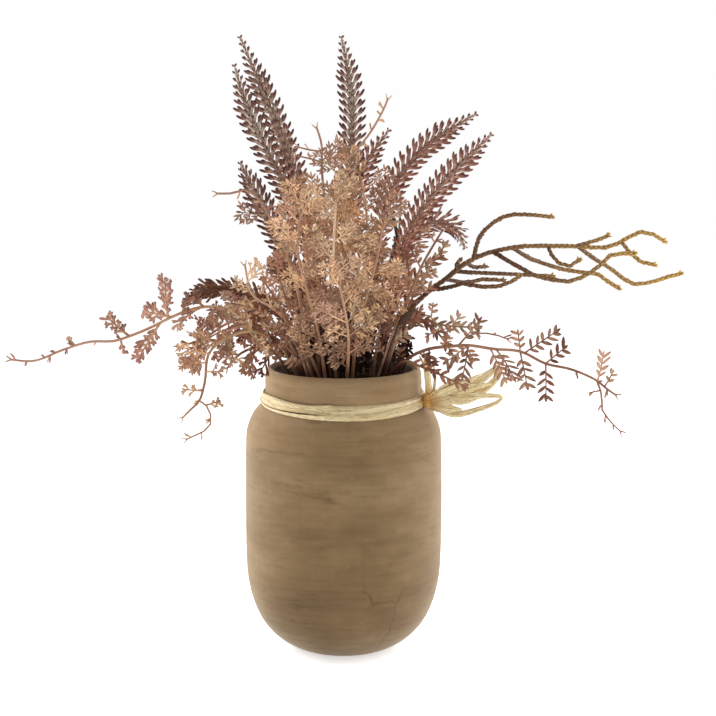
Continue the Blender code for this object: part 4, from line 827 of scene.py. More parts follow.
class Shape:
    """Points and faces gathered for one piece, with numbers at each point that its colours read.

    along runs from the foot to the tip of each needle or leaflet, climb up the whole stem, across from edge
    to edge of a strip, and chance differs from one leaflet to the next.
    """

    def __init__(self):
        self.points = []
        self.faces = []
        self.numbers = {"along": [], "climb": [], "across": [], "chance": []}
        self.count = 0

    def add(self, points, faces, along=0.0, climb=0.0, across=0.0, chance=0.5):
        points = np.asarray(points, dtype=float)
        self.points.append(points)
        self.faces += [tuple(i + self.count for i in f) for f in faces]
        self.count += len(points)
        for key, value in (("along", along), ("climb", climb), ("across", across), ("chance", chance)):
            self.numbers[key].append(np.broadcast_to(np.asarray(value, dtype=float), len(points)))

    def sweep(self, line, side, face, half_wide, half_thick, sides, climb=(0.0, 1.0), chance=0.5, ring=False,
              along=0.0):
        """A closed bar or strip along a line, given its sideways and facing directions at each point."""
        line, side, face = (np.array([tuple(p) for p in vectors]) for vectors in (line, side, face))
        count = len(line)
        angle = np.arange(sides) * 2 * math.pi / sides
        wide = np.broadcast_to(half_wide, count)[:, None, None] * np.cos(angle)[None, :, None]
        thick = np.broadcast_to(half_thick, count)[:, None, None] * np.sin(angle)[None, :, None]
        points = (line[:, None] + side[:, None] * wide + face[:, None] * thick).reshape(-1, 3)
        up = np.repeat(np.linspace(climb[0], climb[1], count), sides)
        self.add(points, tube_faces(count, sides, ring), along, up, wide.reshape(-1), chance)

    def bar(self, line, radii, sides=8, climb=(0.0, 1.0), chance=0.5, along=0.0):
        """A round bar along a line, with one radius or one for each point."""
        steady = frames(line)
        self.sweep(line, [s[1] for s in steady], [s[2] for s in steady], radii, radii, sides, climb, chance,
                   along=along)

    def stamp(self, form, foot, x_dir, z_dir, size, climb, chance):
        """Puts one copy of a small form at a foot, along x_dir, with its upper face towards z_dir."""
        points, faces, along = form
        x_dir = x_dir.normalized()
        z_dir = (z_dir - x_dir * z_dir.dot(x_dir)).normalized()
        y_dir = z_dir.cross(x_dir)
        axes = np.array([tuple(x_dir * size[0]), tuple(y_dir * size[1]), tuple(z_dir * size[2])])
        self.add(points @ axes + np.array(tuple(foot)), faces, along, climb, 0.0, chance)


def small_form(stations, sides, cup=0.0, bend=0.0):
    """A small closed form along X, 1 long: stations are x, half width and half thickness."""
    points = []
    for x, w, t in stations:
        for i in range(sides):
            a = 2 * math.pi * i / sides
            y = w * math.cos(a)
            points.append((x, y, t * math.sin(a) + cup * abs(y) + bend * x * x))
    along = np.repeat([float(x) for x, w, t in stations], sides)
    return np.array(points), tube_faces(len(stations), sides), along


NEEDLE = small_form([(0, 0.40, 0.38), (0.32, 0.44, 0.40), (0.58, 0.78, 0.70), (0.78, 1.0, 0.86),
                     (0.91, 0.84, 0.72), (1.0, 0.28, 0.24)], 6, bend=1.7)
LEAFLET = small_form([(0, 0.4, 0.3), (0.28, 0.9, 0.3), (0.58, 1.0, 0.3), (0.84, 0.6, 0.24),
                      (1.0, 0.12, 0.1)], 6, cup=0.2, bend=0.5)
LOBE = small_form([(0, 0.6, 0.3), (0.35, 0.86, 0.32), (0.68, 1.0, 0.3), (0.88, 0.82, 0.26),
                   (1.0, 0.36, 0.16)], 6, cup=0.2, bend=-0.5)
CHIP = small_form([(0, 0.5, 0.4), (0.4, 1.0, 0.5), (0.75, 0.8, 0.4), (1.0, 0.2, 0.16)], 5, cup=0.15, bend=0.6)
SCALE = small_form([(0, 0.75, 0.55), (0.45, 0.8, 0.5), (0.8, 0.5, 0.34), (1.0, 0.14, 0.12)], 5)


def piece(name, shape, look, replaced=None):
    """Makes the object of a shape, in metres, and ties it to the frame."""
    mesh = bpy.data.meshes.new(name)
    points = np.vstack(shape.points) * MM
    mesh.from_pydata(points.tolist(), [], shape.faces)
    for key, values in shape.numbers.items():
        store = mesh.attributes.new(key, "FLOAT", "POINT")
        store.data.foreach_set("value", np.concatenate(values))
    mesh.polygons.foreach_set("use_smooth", np.ones(len(mesh.polygons), dtype=bool))
    mesh.materials.append(look)
    ob = bpy.data.objects.new(name, mesh)
    bpy.context.scene.collection.objects.link(ob)
    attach(ob, "root")
    if replaced:
        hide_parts(replaced)
    return ob


def node(tree, kind, inputs=None, **settings):
    """Adds a shader node; inputs are sockets to join to or values to set."""
    made = tree.nodes.new("ShaderNode" + kind)
    for key, value in settings.items():
        setattr(made, key, value)
    for key, value in (inputs or {}).items():
        if isinstance(value, bpy.types.NodeSocket):
            tree.links.new(value, made.inputs[key])
        else:
            made.inputs[key].default_value = value
    return made


def number(tree, name):
    return node(tree, "Attribute", attribute_name=name).outputs["Fac"]


def place(tree):
    return node(tree, "TexCoord").outputs["Object"]


def distance(tree, point):
    return node(tree, "VectorMath", {0: place(tree), 1: point}, operation="DISTANCE").outputs["Value"]


def maths(tree, operation, *values):
    return node(tree, "Math", dict(enumerate(values)), operation=operation).outputs[0]


def centred(tree, value, width):
    """A factor of one, give or take half the width, from a value between 0 and 1."""
    return maths(tree, "MULTIPLY_ADD", value, width, 1.0 - width * 0.5)


def ramp(tree, factor, stops):
    made = node(tree, "ValToRGB", {"Fac": factor})
    band = made.color_ramp
    while len(band.elements) < len(stops):
        band.elements.new(0.5)
    for element, (spot, colour) in zip(band.elements, stops):
        element.position = spot
        element.color = (*colour, 1.0)
    return made.outputs["Color"]


def mask(tree, factor, low, high, top=1.0):
    """Nothing below low, and top above high."""
    return ramp(tree, factor, [(low, (0, 0, 0)), (high, (top, top, top))])


def blended(tree, factor, a, b, mode="MIX"):
    colours = {6: a, 7: b if isinstance(b, bpy.types.NodeSocket) else (*b, 1.0)}
    return node(tree, "Mix", {0: factor, **colours}, data_type="RGBA", blend_type=mode).outputs[2]


def tinted(tree, colour, factor, stops):
    """A colour multiplied by a ramp."""
    return blended(tree, 1.0, colour, ramp(tree, factor, stops), "MULTIPLY")


def noise(tree, scale, detail=4.0, vector=None, rough=0.6):
    inputs = {"Vector": vector or place(tree), "Scale": scale, "Detail": detail, "Roughness": rough}
    return node(tree, "TexNoise", inputs).outputs["Fac"]


def stretched(tree, across, up):
    """Places scaled by one number across and another up, for noise that runs level or upright."""
    return node(tree, "Mapping", {"Vector": place(tree), "Scale": (across, across, up)}).outputs["Vector"]


def look(name, roughness, specular):
    mat = bpy.data.materials.new(name)
    mat.use_nodes = True
    bsdf = mat.node_tree.nodes["Principled BSDF"]
    bsdf.inputs["Roughness"].default_value = roughness
    bsdf.inputs["Specular IOR Level"].default_value = specular
    return mat, mat.node_tree, bsdf


def coat(tree, bsdf, colour, height, strength, distance):
    """Gives a shader its colour and its relief."""
    tree.links.new(colour, bsdf.inputs["Base Color"])
    made = node(tree, "Bump", {"Height": height, "Strength": strength, "Distance": distance})
    tree.links.new(made.outputs["Normal"], bsdf.inputs["Normal"])


def foliage_look(name, stops, speckle, spread, other=None):
    """Dyed dry leaf: colour from foot to tip of each leaflet, uneven from one to the next, with specks, and
    painted shade down in the mouth.

    With other given, some whole leaves take that colour; without it, some tips stay as pale as the middle.
    """
    mat, tree, bsdf = look(name, 0.62, 0.25)
    chance = number(tree, "chance")
    along = number(tree, "along")
    climb = number(tree, "climb")
    if other:
        odd = mask(tree, climb, 0.50, 0.80, 0.85)
        colour = blended(tree, odd, ramp(tree, along, stops), other)
    else:
        reach = maths(tree, "MULTIPLY_ADD", chance, 0.52, 0.5)
        colour = ramp(tree, maths(tree, "MULTIPLY", along, reach), stops)
        colour = tinted(tree, colour, climb, ROSY)
    fine = noise(tree, 900.0, 3.0)
    tone = maths(tree, "MULTIPLY", centred(tree, chance, spread), centred(tree, fine, 0.5))
    grey = node(tree, "CombineColor", {0: tone, 1: tone, 2: tone}).outputs[0]
    colour = blended(tree, 1.0, colour, grey, "MULTIPLY")
    # Painted shade: darker down in the mouth, by the distance from it.
    depth = maths(tree, "MULTIPLY", distance(tree, MOUTH), 10.0)
    colour = tinted(tree, colour, depth, MOUTH_PAINTED_SHADE)
    spots = mask(tree, noise(tree, 55.0, 2.0), 0.45, 0.68)
    colour = blended(tree, maths(tree, "MULTIPLY", spots, 0.45), colour, speckle)
    coat(tree, bsdf, colour, fine, 0.5, 0.0004)
    return mat


def clay_look():
    """Unglazed fired clay: fine level turning marks, blotches where it dried, pits and light scratches, with
    painted shade at the foot and inside and painted light at the neck.
    """
    mat, tree, bsdf = look("clay", 0.92, 0.12)
    lines = noise(tree, 1.0, 5.0, stretched(tree, 22.0, 330.0), 0.65)
    patches = noise(tree, 1.0, 5.0, stretched(tree, 15.0, 34.0), 0.62)
    smears = noise(tree, 1.0, 3.0, stretched(tree, 28.0, 120.0), 0.7)
    upright = noise(tree, 1.0, 2.0, stretched(tree, 420.0, 30.0), 0.5)
    blotch = noise(tree, 22.0, 4.0)
    grain = noise(tree, 900.0, 3.0)
    colour = ramp(tree, patches, [(0.32, CLAY_DARK), (0.50, CLAY_MID), (0.70, CLAY_PALE)])
    colour = tinted(tree, colour, lines,
                    [(0.34, (0.90, 0.89, 0.88)), (0.5, (1, 1, 1)), (0.68, (1.05, 1.05, 1.06))])
    colour = tinted(tree, colour, smears, [(0.28, (0.70, 0.66, 0.62)), (0.41, (1, 1, 1))])
    colour = tinted(tree, colour, upright, [(0.36, (0.98, 0.98, 0.975)), (0.64, (1.015, 1.015, 1.015))])
    colour = tinted(tree, colour, blotch, [(0.34, (0.88, 0.87, 0.85)), (0.62, (1.04, 1.04, 1.04))])
    dust = mask(tree, grain, 0.60, 0.80)
    colour = blended(tree, maths(tree, "MULTIPLY", dust, 0.25), colour, CLAY_PALE)
    scratch = noise(tree, 1.0, 3.0, stretched(tree, 260.0, 170.0), 0.6)
    colour = blended(tree, mask(tree, scratch, 0.71, 0.79, 0.4), colour, CLAY_SCRATCH)
    colour = cracked(tree, colour)
    # Painted shade darker at the foot and painted light paler at the neck, by height up the jar.
    height = node(tree, "SeparateXYZ", {0: place(tree)}).outputs[2]
    colour = tinted(tree, colour, maths(tree, "MULTIPLY", height, 6.0), CLAY_PAINTED_LIGHT_BY_HEIGHT)
    # Painted shade: the inside wall darker.
    colour = tinted(tree, colour, number(tree, "across"), CLAY_INSIDE_PAINTED_SHADE)
    relief = maths(tree, "ADD", lines, maths(tree, "MULTIPLY", grain, 0.5))
    coat(tree, bsdf, colour, relief, 0.35, 0.0006)
    bsdf.inputs["Sheen Weight"].default_value = 0.45
    bsdf.inputs["Sheen Roughness"].default_value = 0.45
    bsdf.inputs["Sheen Tint"].default_value = (1.0, 0.86, 0.68, 1.0)
    rough = ramp(tree, blotch, [(0.3, (0.8, 0.8, 0.8)), (0.7, (0.97, 0.97, 0.97))])
    tree.links.new(rough, bsdf.inputs["Roughness"])
    return mat


def cracked(tree, colour):
    """A colour with a few dark cracks, which wander because noise pushes their places about."""
    drift = node(tree, "TexNoise", {"Vector": place(tree), "Scale": 45.0, "Detail": 3.0}).outputs["Color"]
    push = node(tree, "VectorMath", {0: drift, "Scale": 0.02}, operation="SCALE").outputs[0]
    moved = node(tree, "VectorMath", {0: place(tree), 1: push}, operation="ADD").outputs[0]
    cells = node(tree, "TexVoronoi", {"Vector": moved, "Scale": 13.0}, feature="DISTANCE_TO_EDGE")
    dark = tinted(tree, colour, cells.outputs["Distance"], [(0.0, (0.72, 0.68, 0.64)), (0.012, (1, 1, 1))])
    return blended(tree, mask(tree, noise(tree, 11.0, 1.0), 0.56, 0.62), colour, dark)


def raffia_look():
    """Dry raffia: pale straw with fine lengthwise fibres and a few darker strands, stained at the knot."""
    mat, tree, bsdf = look("raffia_straw", 0.55, 0.3)
    bsdf.inputs["Sheen Weight"].default_value = 0.2
    chance = number(tree, "chance")
    spot = node(tree, "CombineXYZ", {0: maths(tree, "MULTIPLY", number(tree, "climb"), 6.0),
                                     1: maths(tree, "MULTIPLY", number(tree, "across"), 3.2),
                                     2: maths(tree, "MULTIPLY", chance, 31.0)}).outputs[0]
    fibre = noise(tree, 1.0, 3.0, spot, 0.55)
    colour = ramp(tree, fibre, [(0.28, RAFFIA_DARK), (0.5, RAFFIA_MID), (0.72, RAFFIA_PALE)])
    colour = tinted(tree, colour, chance, RAFFIA_TONES)
    away = maths(tree, "MULTIPLY", distance(tree, tuple(v * MM for v in KNOT)), 40.0)
    colour = tinted(tree, colour, away, [(0.14, (0.76, 0.50, 0.22)), (0.46, (1, 1, 1))])
    coat(tree, bsdf, colour, fibre, 0.8, 0.0004)
    return mat


def twig_look():
    """Scaly twig: dark brown bark that turns olive and then yellow towards the tips."""
    mat, tree, bsdf = look("scaly_twig", 0.6, 0.3)
    uneven = maths(tree, "MULTIPLY", maths(tree, "SUBTRACT", noise(tree, 60.0), 0.5), 0.5)
    colour = ramp(tree, maths(tree, "ADD", number(tree, "climb"), uneven), TWIG_BARK)
    colour = tinted(tree, colour, number(tree, "along"), [(0.2, (0.60, 0.55, 0.5)), (1.0, (1.3, 1.3, 1.1))])
    coat(tree, bsdf, colour, noise(tree, 1200.0, 3.0), 0.5, 0.0004)
    return mat


def foam_look():
    """Dry flower foam: nearly black, with a crumbly relief."""
    mat, tree, bsdf = look("dry_foam", 0.97, 0.05)
    crumb = noise(tree, 380.0, 5.0)
    colour = ramp(tree, crumb, [(0.3, (0.006, 0.004, 0.003)), (0.7, (0.045, 0.028, 0.016))])
    coat(tree, bsdf, colour, crumb, 0.9, 0.0015)
    return mat


def stem_look(name, dark, pale):
    """A green stem, streaked lengthwise."""
    mat, tree, bsdf = look(name, 0.5, 0.35)
    streaks = noise(tree, 1.0, 3.0, stretched(tree, 500.0, 40.0))
    coat(tree, bsdf, ramp(tree, streaks, [(0.3, dark), (0.7, pale)]), streaks, 0.5, 0.0004)
    return mat


class Plume:
    """A fern plume: a slender stem ringed with club-shaped needles that lean towards its tip."""

    def __init__(self, name, foot, line, room, seed):
        look, self.start, self.fine, self.uneven, pitch, route = PLUMES[name]
        self.name = name
        self.line = line
        self.room = room
        self.rng = random.Random(seed)
        self.lengths = lengths_along(line)
        self.total = self.lengths[-1]
        self.shape = Shape()
        path = with_foot(foot, line, 3.0)
        self.shape.bar(path, narrowing(path, 1.1, 0.55, 1.5))
        bare = self.total * self.start
        pitch *= self.fine ** 0.5
        self.whorls(9.0, bare - 4.0, 4.2, 6, 0.5, self.lower)
        self.whorls(bare, self.total - 1.0, pitch, 8, 0.0, self.crown)
        self.whorls(bare + 0.5 * pitch, self.total - 3.0, pitch, 8, 0.5, self.core)
        t = (line[-1] - line[-2]).normalized()
        self.shape.stamp(NEEDLE, line[-1] - t * 1.5, t, t.orthogonal(), (2.6, 0.45, 0.45), 1.0, 0.5)

    def crown(self, at, sideways):
        """An outer needle's length, lift, thickness and tone: longer where it lies sideways, and painted
        paler there as painted light from the sides.
        """
        share = max(0.0, (at / self.total - self.start) / (1 - self.start))
        size = needle_size(share) * self.rng.uniform(0.97 - self.uneven, 1.06 - 0.4 * self.uneven)
        size *= 0.72 + 0.28 * sideways
        lift = 0.50 + 0.35 * share ** 3 + self.rng.uniform(-0.06, 0.06) * (1.0 + 20.0 * self.uneven)
        # Painted light: needles lying sideways get a paler tone.
        tone = self.rng.uniform(0.0, 0.35) + 0.65 * sideways + 0.5 * max(0.0, share - 0.6)
        return size, lift, (0.20 + 0.090 * size) * self.fine, tone

    def core(self, at, sideways):
        """A shorter needle between the outer ones, painted darker as painted shade."""
        size, lift, fat, tone = self.crown(at, sideways)
        return size * self.rng.uniform(0.5, 0.72), lift + 0.35, fat * 0.9, self.rng.uniform(0.0, 0.4)

    def lower(self, at, sideways):
        """A short needle on the bare lower stem."""
        return self.rng.uniform(5.0, 7.5), self.rng.uniform(0.7, 1.0), 0.8, self.rng.uniform(0.6, 1.0)

    def whorls(self, low, high, pitch, around, turn, measure):
        """Needles in whorls up part of the stem, each set clear of the other pieces."""
        count = max(1, round((high - low) / pitch))
        marks = [low + (high - low) * k / count for k in range(count + 1)]
        path = [at_length(self.line, self.lengths, mark) for mark in marks]
        for k, at in enumerate(marks):
            t = (path[min(k + 1, count)] - path[max(k - 1, 0)]).normalized()
            u = t.cross(-FRONT).normalized()
            v = t.cross(u)
            for i in range(around):
                a = 2 * math.pi * (i + turn * k) / around + self.rng.uniform(-0.08, 0.08)
                out = u * math.cos(a) + v * math.sin(a)
                size, lift, fat, tone = measure(at, abs(math.cos(a)))
                heading = out * math.cos(lift) + t * math.sin(lift)
                self.set_needle(path[k] + out * 0.4, heading, t, size, fat, at / self.total, tone)

    def set_needle(self, foot, heading, t, size, fat, climb, tone):
        """One needle, shorter where something is in its way, or none."""
        for scale in (1.0, 0.8, 0.6, 0.42):
            tip = foot + heading * size * scale
            if self.room.free(self.name, [(foot + heading * 1.4, tip, 0.8)]):
                self.shape.stamp(NEEDLE, foot, heading, t, (size * scale, fat, fat), climb, tone)
                self.room.add(self.name, [(foot, tip, 0.7)])
                return


def rachis(shape, leaf, last, radius, chance):
    """A leaf's thin rib, from its foot to a share of its length."""
    line = [leaf.place(leaf.length * s, 0.0) for s in np.linspace(0.0, last, 7)]
    shape.bar(line, [radius * (1.0 - 0.45 * k / 6) for k in range(7)], 5, (0.0, 1.0), chance, 0.15)


def leafy(shape, leaf, rng, lobed=0.0):
    """A leaf of leaflets in pairs along a thin rib, with one at its end: pointed, or blunt lobes."""
    chance = rng.random()
    climb = rng.random()
    rachis(shape, leaf, 0.88, max(0.55, 0.9 * lobed), chance)
    first = leaf.first * 0.75
    span = 0.9 * leaf.length - first
    count = max(leaf.pairs, round(span / (3.3 if lobed > 0.9 else 3.8)))
    marks = [(i + 0.5) / leaf.pairs for i in range(leaf.pairs)]
    for side, rods in ((1, leaf.rods[2:2 + leaf.pairs]), (-1, leaf.rods[2 + leaf.pairs:])):
        reaches = [(q - p).length for p, q, r in rods]
        for k in range(count):
            share = (k + 0.5 + 0.12 * side) / count
            reach = float(np.interp(share, marks, reaches)) * rng.uniform(0.8, 1.1) + 0.3
            x = first + span * share
            angle = rng.uniform(0.5, 0.85) if lobed else rng.uniform(0.62, 1.0)
            lift = rng.uniform(-0.9, 0.9)
            goal = leaf.place(x + reach * math.cos(angle), side * reach * math.sin(angle), lift)
            up = leaf.z_dir + leaf.y_dir * rng.uniform(-0.5, 0.5)
            tone = 0.5 * chance + 0.5 * rng.random()
            leaflet(shape, leaf.place(x, 0.1 * side), goal, up, lobed, climb, tone, rng)
    tip = leaf.place(leaf.length, 0.0)
    leaflet(shape, leaf.place(leaf.length * 0.8, 0.0), tip, leaf.z_dir, lobed, climb, chance, rng)


def leaflet(shape, foot, goal, up, lobed, climb, chance, rng):
    """One leaflet: pointed, or a thick blunt lobe with short knobs at its sides."""
    run = goal - foot
    if not lobed:
        wide = min(1.05, 0.19 * run.length + 0.2) * rng.uniform(0.85, 1.1)
        shape.stamp(LEAFLET, foot, run, up, (run.length, wide, 0.9), climb, chance)
        return
    run *= rng.uniform(0.8, 1.25)
    across = up.cross(run).normalized() * run.length
    shape.stamp(LOBE, foot, run, up, (run.length, lobed * rng.uniform(0.9, 1.1), 0.9), climb, chance)
    for turn in (0.75, -0.75):
        if rng.random() < 0.75:
            heading = run + across * turn * rng.uniform(0.7, 1.2)
            spot = foot + run * rng.uniform(0.3, 0.6)
            long = run.length * rng.uniform(0.38, 0.62)
            shape.stamp(LOBE, spot, heading, up, (long, 0.8 * lobed, 0.8), climb, chance)


def paired(shape, name, line, size, room, rng):
    """A spray that is one long leaf: pointed leaflets in pairs up its stem, and one at the tip."""
    path = spaced(line, 4.3)
    for k, (p, (t, u, v)) in enumerate(zip(path, frames(path))):
        share = k / len(path)
        if share < 0.38:
            continue
        side = t.cross(FRONT).normalized()
        for turn in (1, -1):
            heading = t * rng.uniform(0.7, 1.1) + side * turn * rng.uniform(0.55, 0.85)
            heading = (heading + FRONT * rng.uniform(-0.3, 0.4)).normalized()
            long = size * min(1.0, 0.6 + 1.6 * (1.0 - share)) * rng.uniform(0.82, 1.1)
            rods = [(p + heading * 1.4, p + heading * long, 0.8)]
            if room.free(name, rods):
                up = FRONT + side * rng.uniform(-0.5, 0.5)
                measure = (long, rng.uniform(0.85, 1.1), 1.0)
                shape.stamp(LEAFLET, p, heading, up, measure, rng.random(), rng.random())
                room.add(name, rods)
    t = (path[-1] - path[-2]).normalized()
    shape.stamp(LEAFLET, path[-1] - t, t, FRONT, (size * 0.9, 1.1, 1.0), rng.random(), 0.5)


def frond(shape, leaf, rng):
    """A twice-divided frond: side ribs in pairs, each with small oval chips along it."""
    chance = rng.random()
    climb = rng.random()
    rachis(shape, leaf, 0.95, 0.5, chance)
    first = 2.2
    span = 0.9 * leaf.length - first
    count = max(2, round(span / 4.3))
    for side in (1, -1):
        for k in range(count):
            share = (k + 0.5 + 0.15 * side) / count
            bell = min(1.0, 0.7 + 1.2 * share, 0.45 + 1.5 * (1.0 - share))
            reach = min(0.27 * leaf.length + 1.9, 7.0) * bell * rng.uniform(0.88, 1.08)
            side_rib(shape, leaf, first + span * share, side, reach, climb, chance, rng)
    foot = leaf.place(leaf.length * 0.88, 0.0)
    tip = leaf.place(leaf.length, 0.0)
    shape.stamp(CHIP, foot, tip - foot, leaf.z_dir, (3.2, 0.8, 0.8), climb, chance)


def side_rib(shape, leaf, x, side, reach, climb, chance, rng):
    """One side rib of a frond with chips in pairs along it, and one at its end."""
    angle = rng.uniform(0.7, 0.95)
    foot = leaf.place(x, 0.0)
    goal = leaf.place(x + reach * math.cos(angle), side * reach * math.sin(angle), rng.uniform(-1.0, 1.0))
    run = goal - foot
    bend = leaf.z_dir * rng.uniform(-0.4, 0.4)
    shape.bar([foot, foot + run * 0.5 + bend, goal], [0.42, 0.36, 0.26], 4, (climb, climb), chance, 0.3)
    across = leaf.z_dir.cross(run).normalized()
    chips = max(1, round(reach / 2.7))
    for m in range(chips):
        spot = foot + run * ((m + 0.6) / (chips + 0.3)) + bend * 0.7
        for turn in (1, -1):
            heading = run.normalized() * rng.uniform(1.0, 1.7) + across * turn
            heading += leaf.z_dir * rng.uniform(-0.6, 0.6)
            size = (rng.uniform(2.8, 4.6) * (1.0 - 0.12 * m), rng.uniform(0.5, 0.75), 0.7)
            shape.stamp(CHIP, spot, heading, leaf.z_dir, size, climb, 0.35 * chance + 0.65 * rng.random())
    shape.stamp(CHIP, goal - run * 0.12, run, leaf.z_dir, (3.4, 0.65, 0.7), climb, rng.random())


def buds(shape, line, start, rng):
    """Tiny blunt sprigs here and there up the bare end of a stem, and a forked tip."""
    picked = line[int(start * (len(line) - 1)):]
    steady = frames(picked)
    turn = 1
    k = 1
    while k < len(picked) - 1:
        t, u, v = steady[k]
        side = t.cross(FRONT).normalized() * turn
        for _ in range(rng.choice((1, 2, 3))):
            heading = t * rng.uniform(0.3, 1.4) + side + Vector((0, rng.uniform(-0.6, 0.6), 0))
            shape.stamp(LOBE, picked[k], heading, v, (rng.uniform(2.2, 5.4), 0.6, 0.7), 0.3, rng.random())
        turn = -turn if rng.random() < 0.65 else turn
        k += rng.choice((1, 2, 3, 4))
    t, u, v = steady[-1]
    side = t.cross(FRONT).normalized()
    for turn in (-0.5, 0.45):
        shape.stamp(CHIP, picked[-1] - t * 1.5, t + side * turn, v, (4.2, 0.5, 0.5), 0.3, 0.5)


def fine_twig(foot, line):
    """The scaly twig: rough bars with small leaning scales all round them."""
    rng = random.Random(8)
    shape = Shape()
    main = with_foot(foot, line, 7.5)
    runs = [(main, 1.9, 1.05)]
    runs += [(joined(main, route, 7.0), start, end) for route, start, end in TWIG[1:]]
    trunk = 30.0
    reach = max(p.x for run, _, _ in runs for p in run) - trunk
    for run, start, end in runs:
        path = spaced(run, 1.5)
        low = 0.8 * max(0.0, (path[0].x - trunk) / reach)
        high = 0.35 + 0.65 * (path[-1].x - trunk) / reach
        scaly_run(shape, path, start, end, low, high, rng)
    return shape


def scaly_run(shape, path, start, end, low, high, rng):
    """One run of the twig; low and high are how far it has climbed at its two ends."""
    count = len(path)
    radii = [(start + (end - start) * k / (count - 1)) * 0.95 * rng.uniform(0.88, 1.08) for k in range(count)]
    radii[-1] *= 0.5
    shape.bar(path, radii, 8, (low, high), 0.5, 0.2)
    for k, (p, r, (t, u, v)) in enumerate(zip(path, radii, frames(path))):
        if p.z < FOAM_TOP + 6:
            continue
        climb = k / count * high + (1 - k / count) * low
        for i in range(3):
            a = 2 * math.pi * i / 3 + k * 1.05 + rng.uniform(-0.2, 0.2)
            out = u * math.cos(a) + v * math.sin(a)
            heading = t + out * rng.uniform(0.22, 0.45)
            size = (rng.uniform(2.0, 2.7), 0.95, 0.75)
            shape.stamp(SCALE, p + out * r * 0.5, heading, out, size, climb, rng.random())
    t = (path[-1] - path[-2]).normalized()
    shape.stamp(NEEDLE, path[-1] - t * 2.6, t, t.orthogonal(), (3.4, 1.25, 1.25), climb + 0.08, 0.5)


def green_shape(name, foot, line, radius):
    """A green stem with a slight joint every few millimetres, and its fork."""
    shape = Shape()
    main = with_foot(foot, line, 11.0)
    path = spaced(main, 2.5)
    radii = [r * (1.12 if k % 6 == 0 else 1.0) for k, r in enumerate(narrowing(path, radius, 0.3))]
    radii[-1] *= 0.5
    shape.bar(path, radii, 9)
    for side in GREEN[name][0][1:]:
        branch = joined(main, side, 1.5)
        shape.bar(branch, narrowing(branch, 0.7, 0.3, 3))
    return shape


def wound_strand(shape, share, half, depth, rng):
    """One strand right round the neck, at a share of the band's height, set in by a depth."""
    around = 180
    line = []
    side = []
    face = []
    widths = []
    phase = rng.uniform(0, 6.28)
    for i in range(around):
        a = 2 * math.pi * i / around
        spot = share + 0.09 * math.sin(2 * a + phase) + 0.04 * math.sin(5 * a + 2 * phase)
        spot = min(0.98, max(0.02, spot)) * 4
        k = min(3, int(spot))
        (r0, z0), (r1, z1) = raffia_band_at(a)[k:k + 2]
        r = r0 + (r1 - r0) * (spot - k) + 0.1 * math.sin(7 * a + phase)
        z = z0 + (z1 - z0) * (spot - k)
        rad = Vector((math.cos(a), math.sin(a), 0))
        slope = (Vector((r1 - r0, z1 - z0)) + Vector((0, -1.2))).normalized()
        line.append(rad * (r - depth) + Vector((0, 0, z)))
        side.append(rad * slope.x + Vector((0, 0, slope.y)))
        face.append(rad * -slope.y + Vector((0, 0, slope.x)))
        widths.append(half * (0.8 + 0.2 * math.sin(3 * a + phase)))
    shape.sweep(line, side, face, widths, 0.34, 8, (0.0, 14.0), rng.random(), ring=True)


def bow_strip(shape, route, widths, rng):
    """One strip of the bow: three thin layers side by side, and a few stray fibres."""
    dense = smooth_line(route, 2.0)
    count = len(dense)
    spread = np.interp(np.linspace(0, len(widths) - 1, count), range(len(widths)), widths)
    for layer in (-1, 0, 1):
        side = []
        face = []
        moved = []
        twist = rng.uniform(-0.35, 0.35)
        for k, p in enumerate(dense):
            t = (dense[min(k + 1, count - 1)] - dense[max(k - 1, 0)]).normalized()
            wide = t.cross(BOW_FACES).normalized()
            thick = t.cross(wide).normalized()
            angle = twist * math.sin(0.35 * k + layer + 1)
            side.append(wide * math.cos(angle) + thick * math.sin(angle))
            face.append(thick * math.cos(angle) - wide * math.sin(angle))
            moved.append(p + wide * (spread[k] * 0.3 * layer) + thick * (0.3 * layer))
        half = spread * (0.42 if layer else 0.5) * np.linspace(1.0, 0.6, count)
        shape.sweep(moved, side, face, half, 0.22, 8, (0.0, count / 8.0), rng.random())
    for _ in range(3):
        drift = scatter(rng, 1.2)
        stray = [p + drift * (k / count) ** 0.7 for k, p in enumerate(dense)]
        shape.bar(stray[:max(3, int(count * rng.uniform(0.6, 1.0)))], 0.24, 5, (0.0, 3.0), rng.random())


def wrapped_knot(shape, rng):
    """The knot: five turns of a strip round a plain core."""
    knot = Vector(KNOT)
    points = 28
    for n in range(-2, 3):
        line = []
        face = []
        for i in range(points):
            a = 2 * math.pi * i / points
            out = Vector((math.cos(a) * 0.8, math.sin(a), 0.0))
            lift = Vector((0, 0, n * 1.5 + 0.25 * n * math.cos(a)))
            line.append(knot + out * (3.2 - 0.25 * abs(n)) + lift)
            face.append(out.normalized())
        shape.sweep(line, [UP] * points, face, 1.15, 0.45, 8, (0.0, 1.5), rng.random(), ring=True)
    core = [knot + UP * z for z in (-4.2, -2.5, 0, 2.5, 4.2)]
    shape.sweep(core, [Vector((1, 0, 0))] * 5, [-FRONT] * 5, [1.2, 2.5, 2.7, 2.6, 1.2],
                [1.2, 2.8, 3.0, 2.8, 1.2], 12, chance=0.4)


def fine_raffia():
    """The tie: flat strands wound round the neck, a wrapped knot, curled bow strips and stray fibres."""
    rng = random.Random(17)
    shape = Shape()
    for share, half, depth in RAFFIA_STRANDS:
        wound_strand(shape, share, half, depth, rng)
    for route, widths in BOW + BOW_FILL:
        bow_strip(shape, route, widths, rng)
    wrapped_knot(shape, rng)
    return shape


def turned(profile, sides, wobble=0.0):
    """A turned form with flat ends, and with a slight hand-thrown unevenness."""
    points = []
    for r, z in profile:
        for i in range(sides):
            a = 2 * math.pi * i / sides
            off = wobble * (math.sin(2 * a + z * 0.03) + 0.6 * math.sin(3 * a - z * 0.05))
            points.append(((r + off) * math.cos(a), (r + off) * math.sin(a), z))
    return points, tube_faces(len(profile), sides)


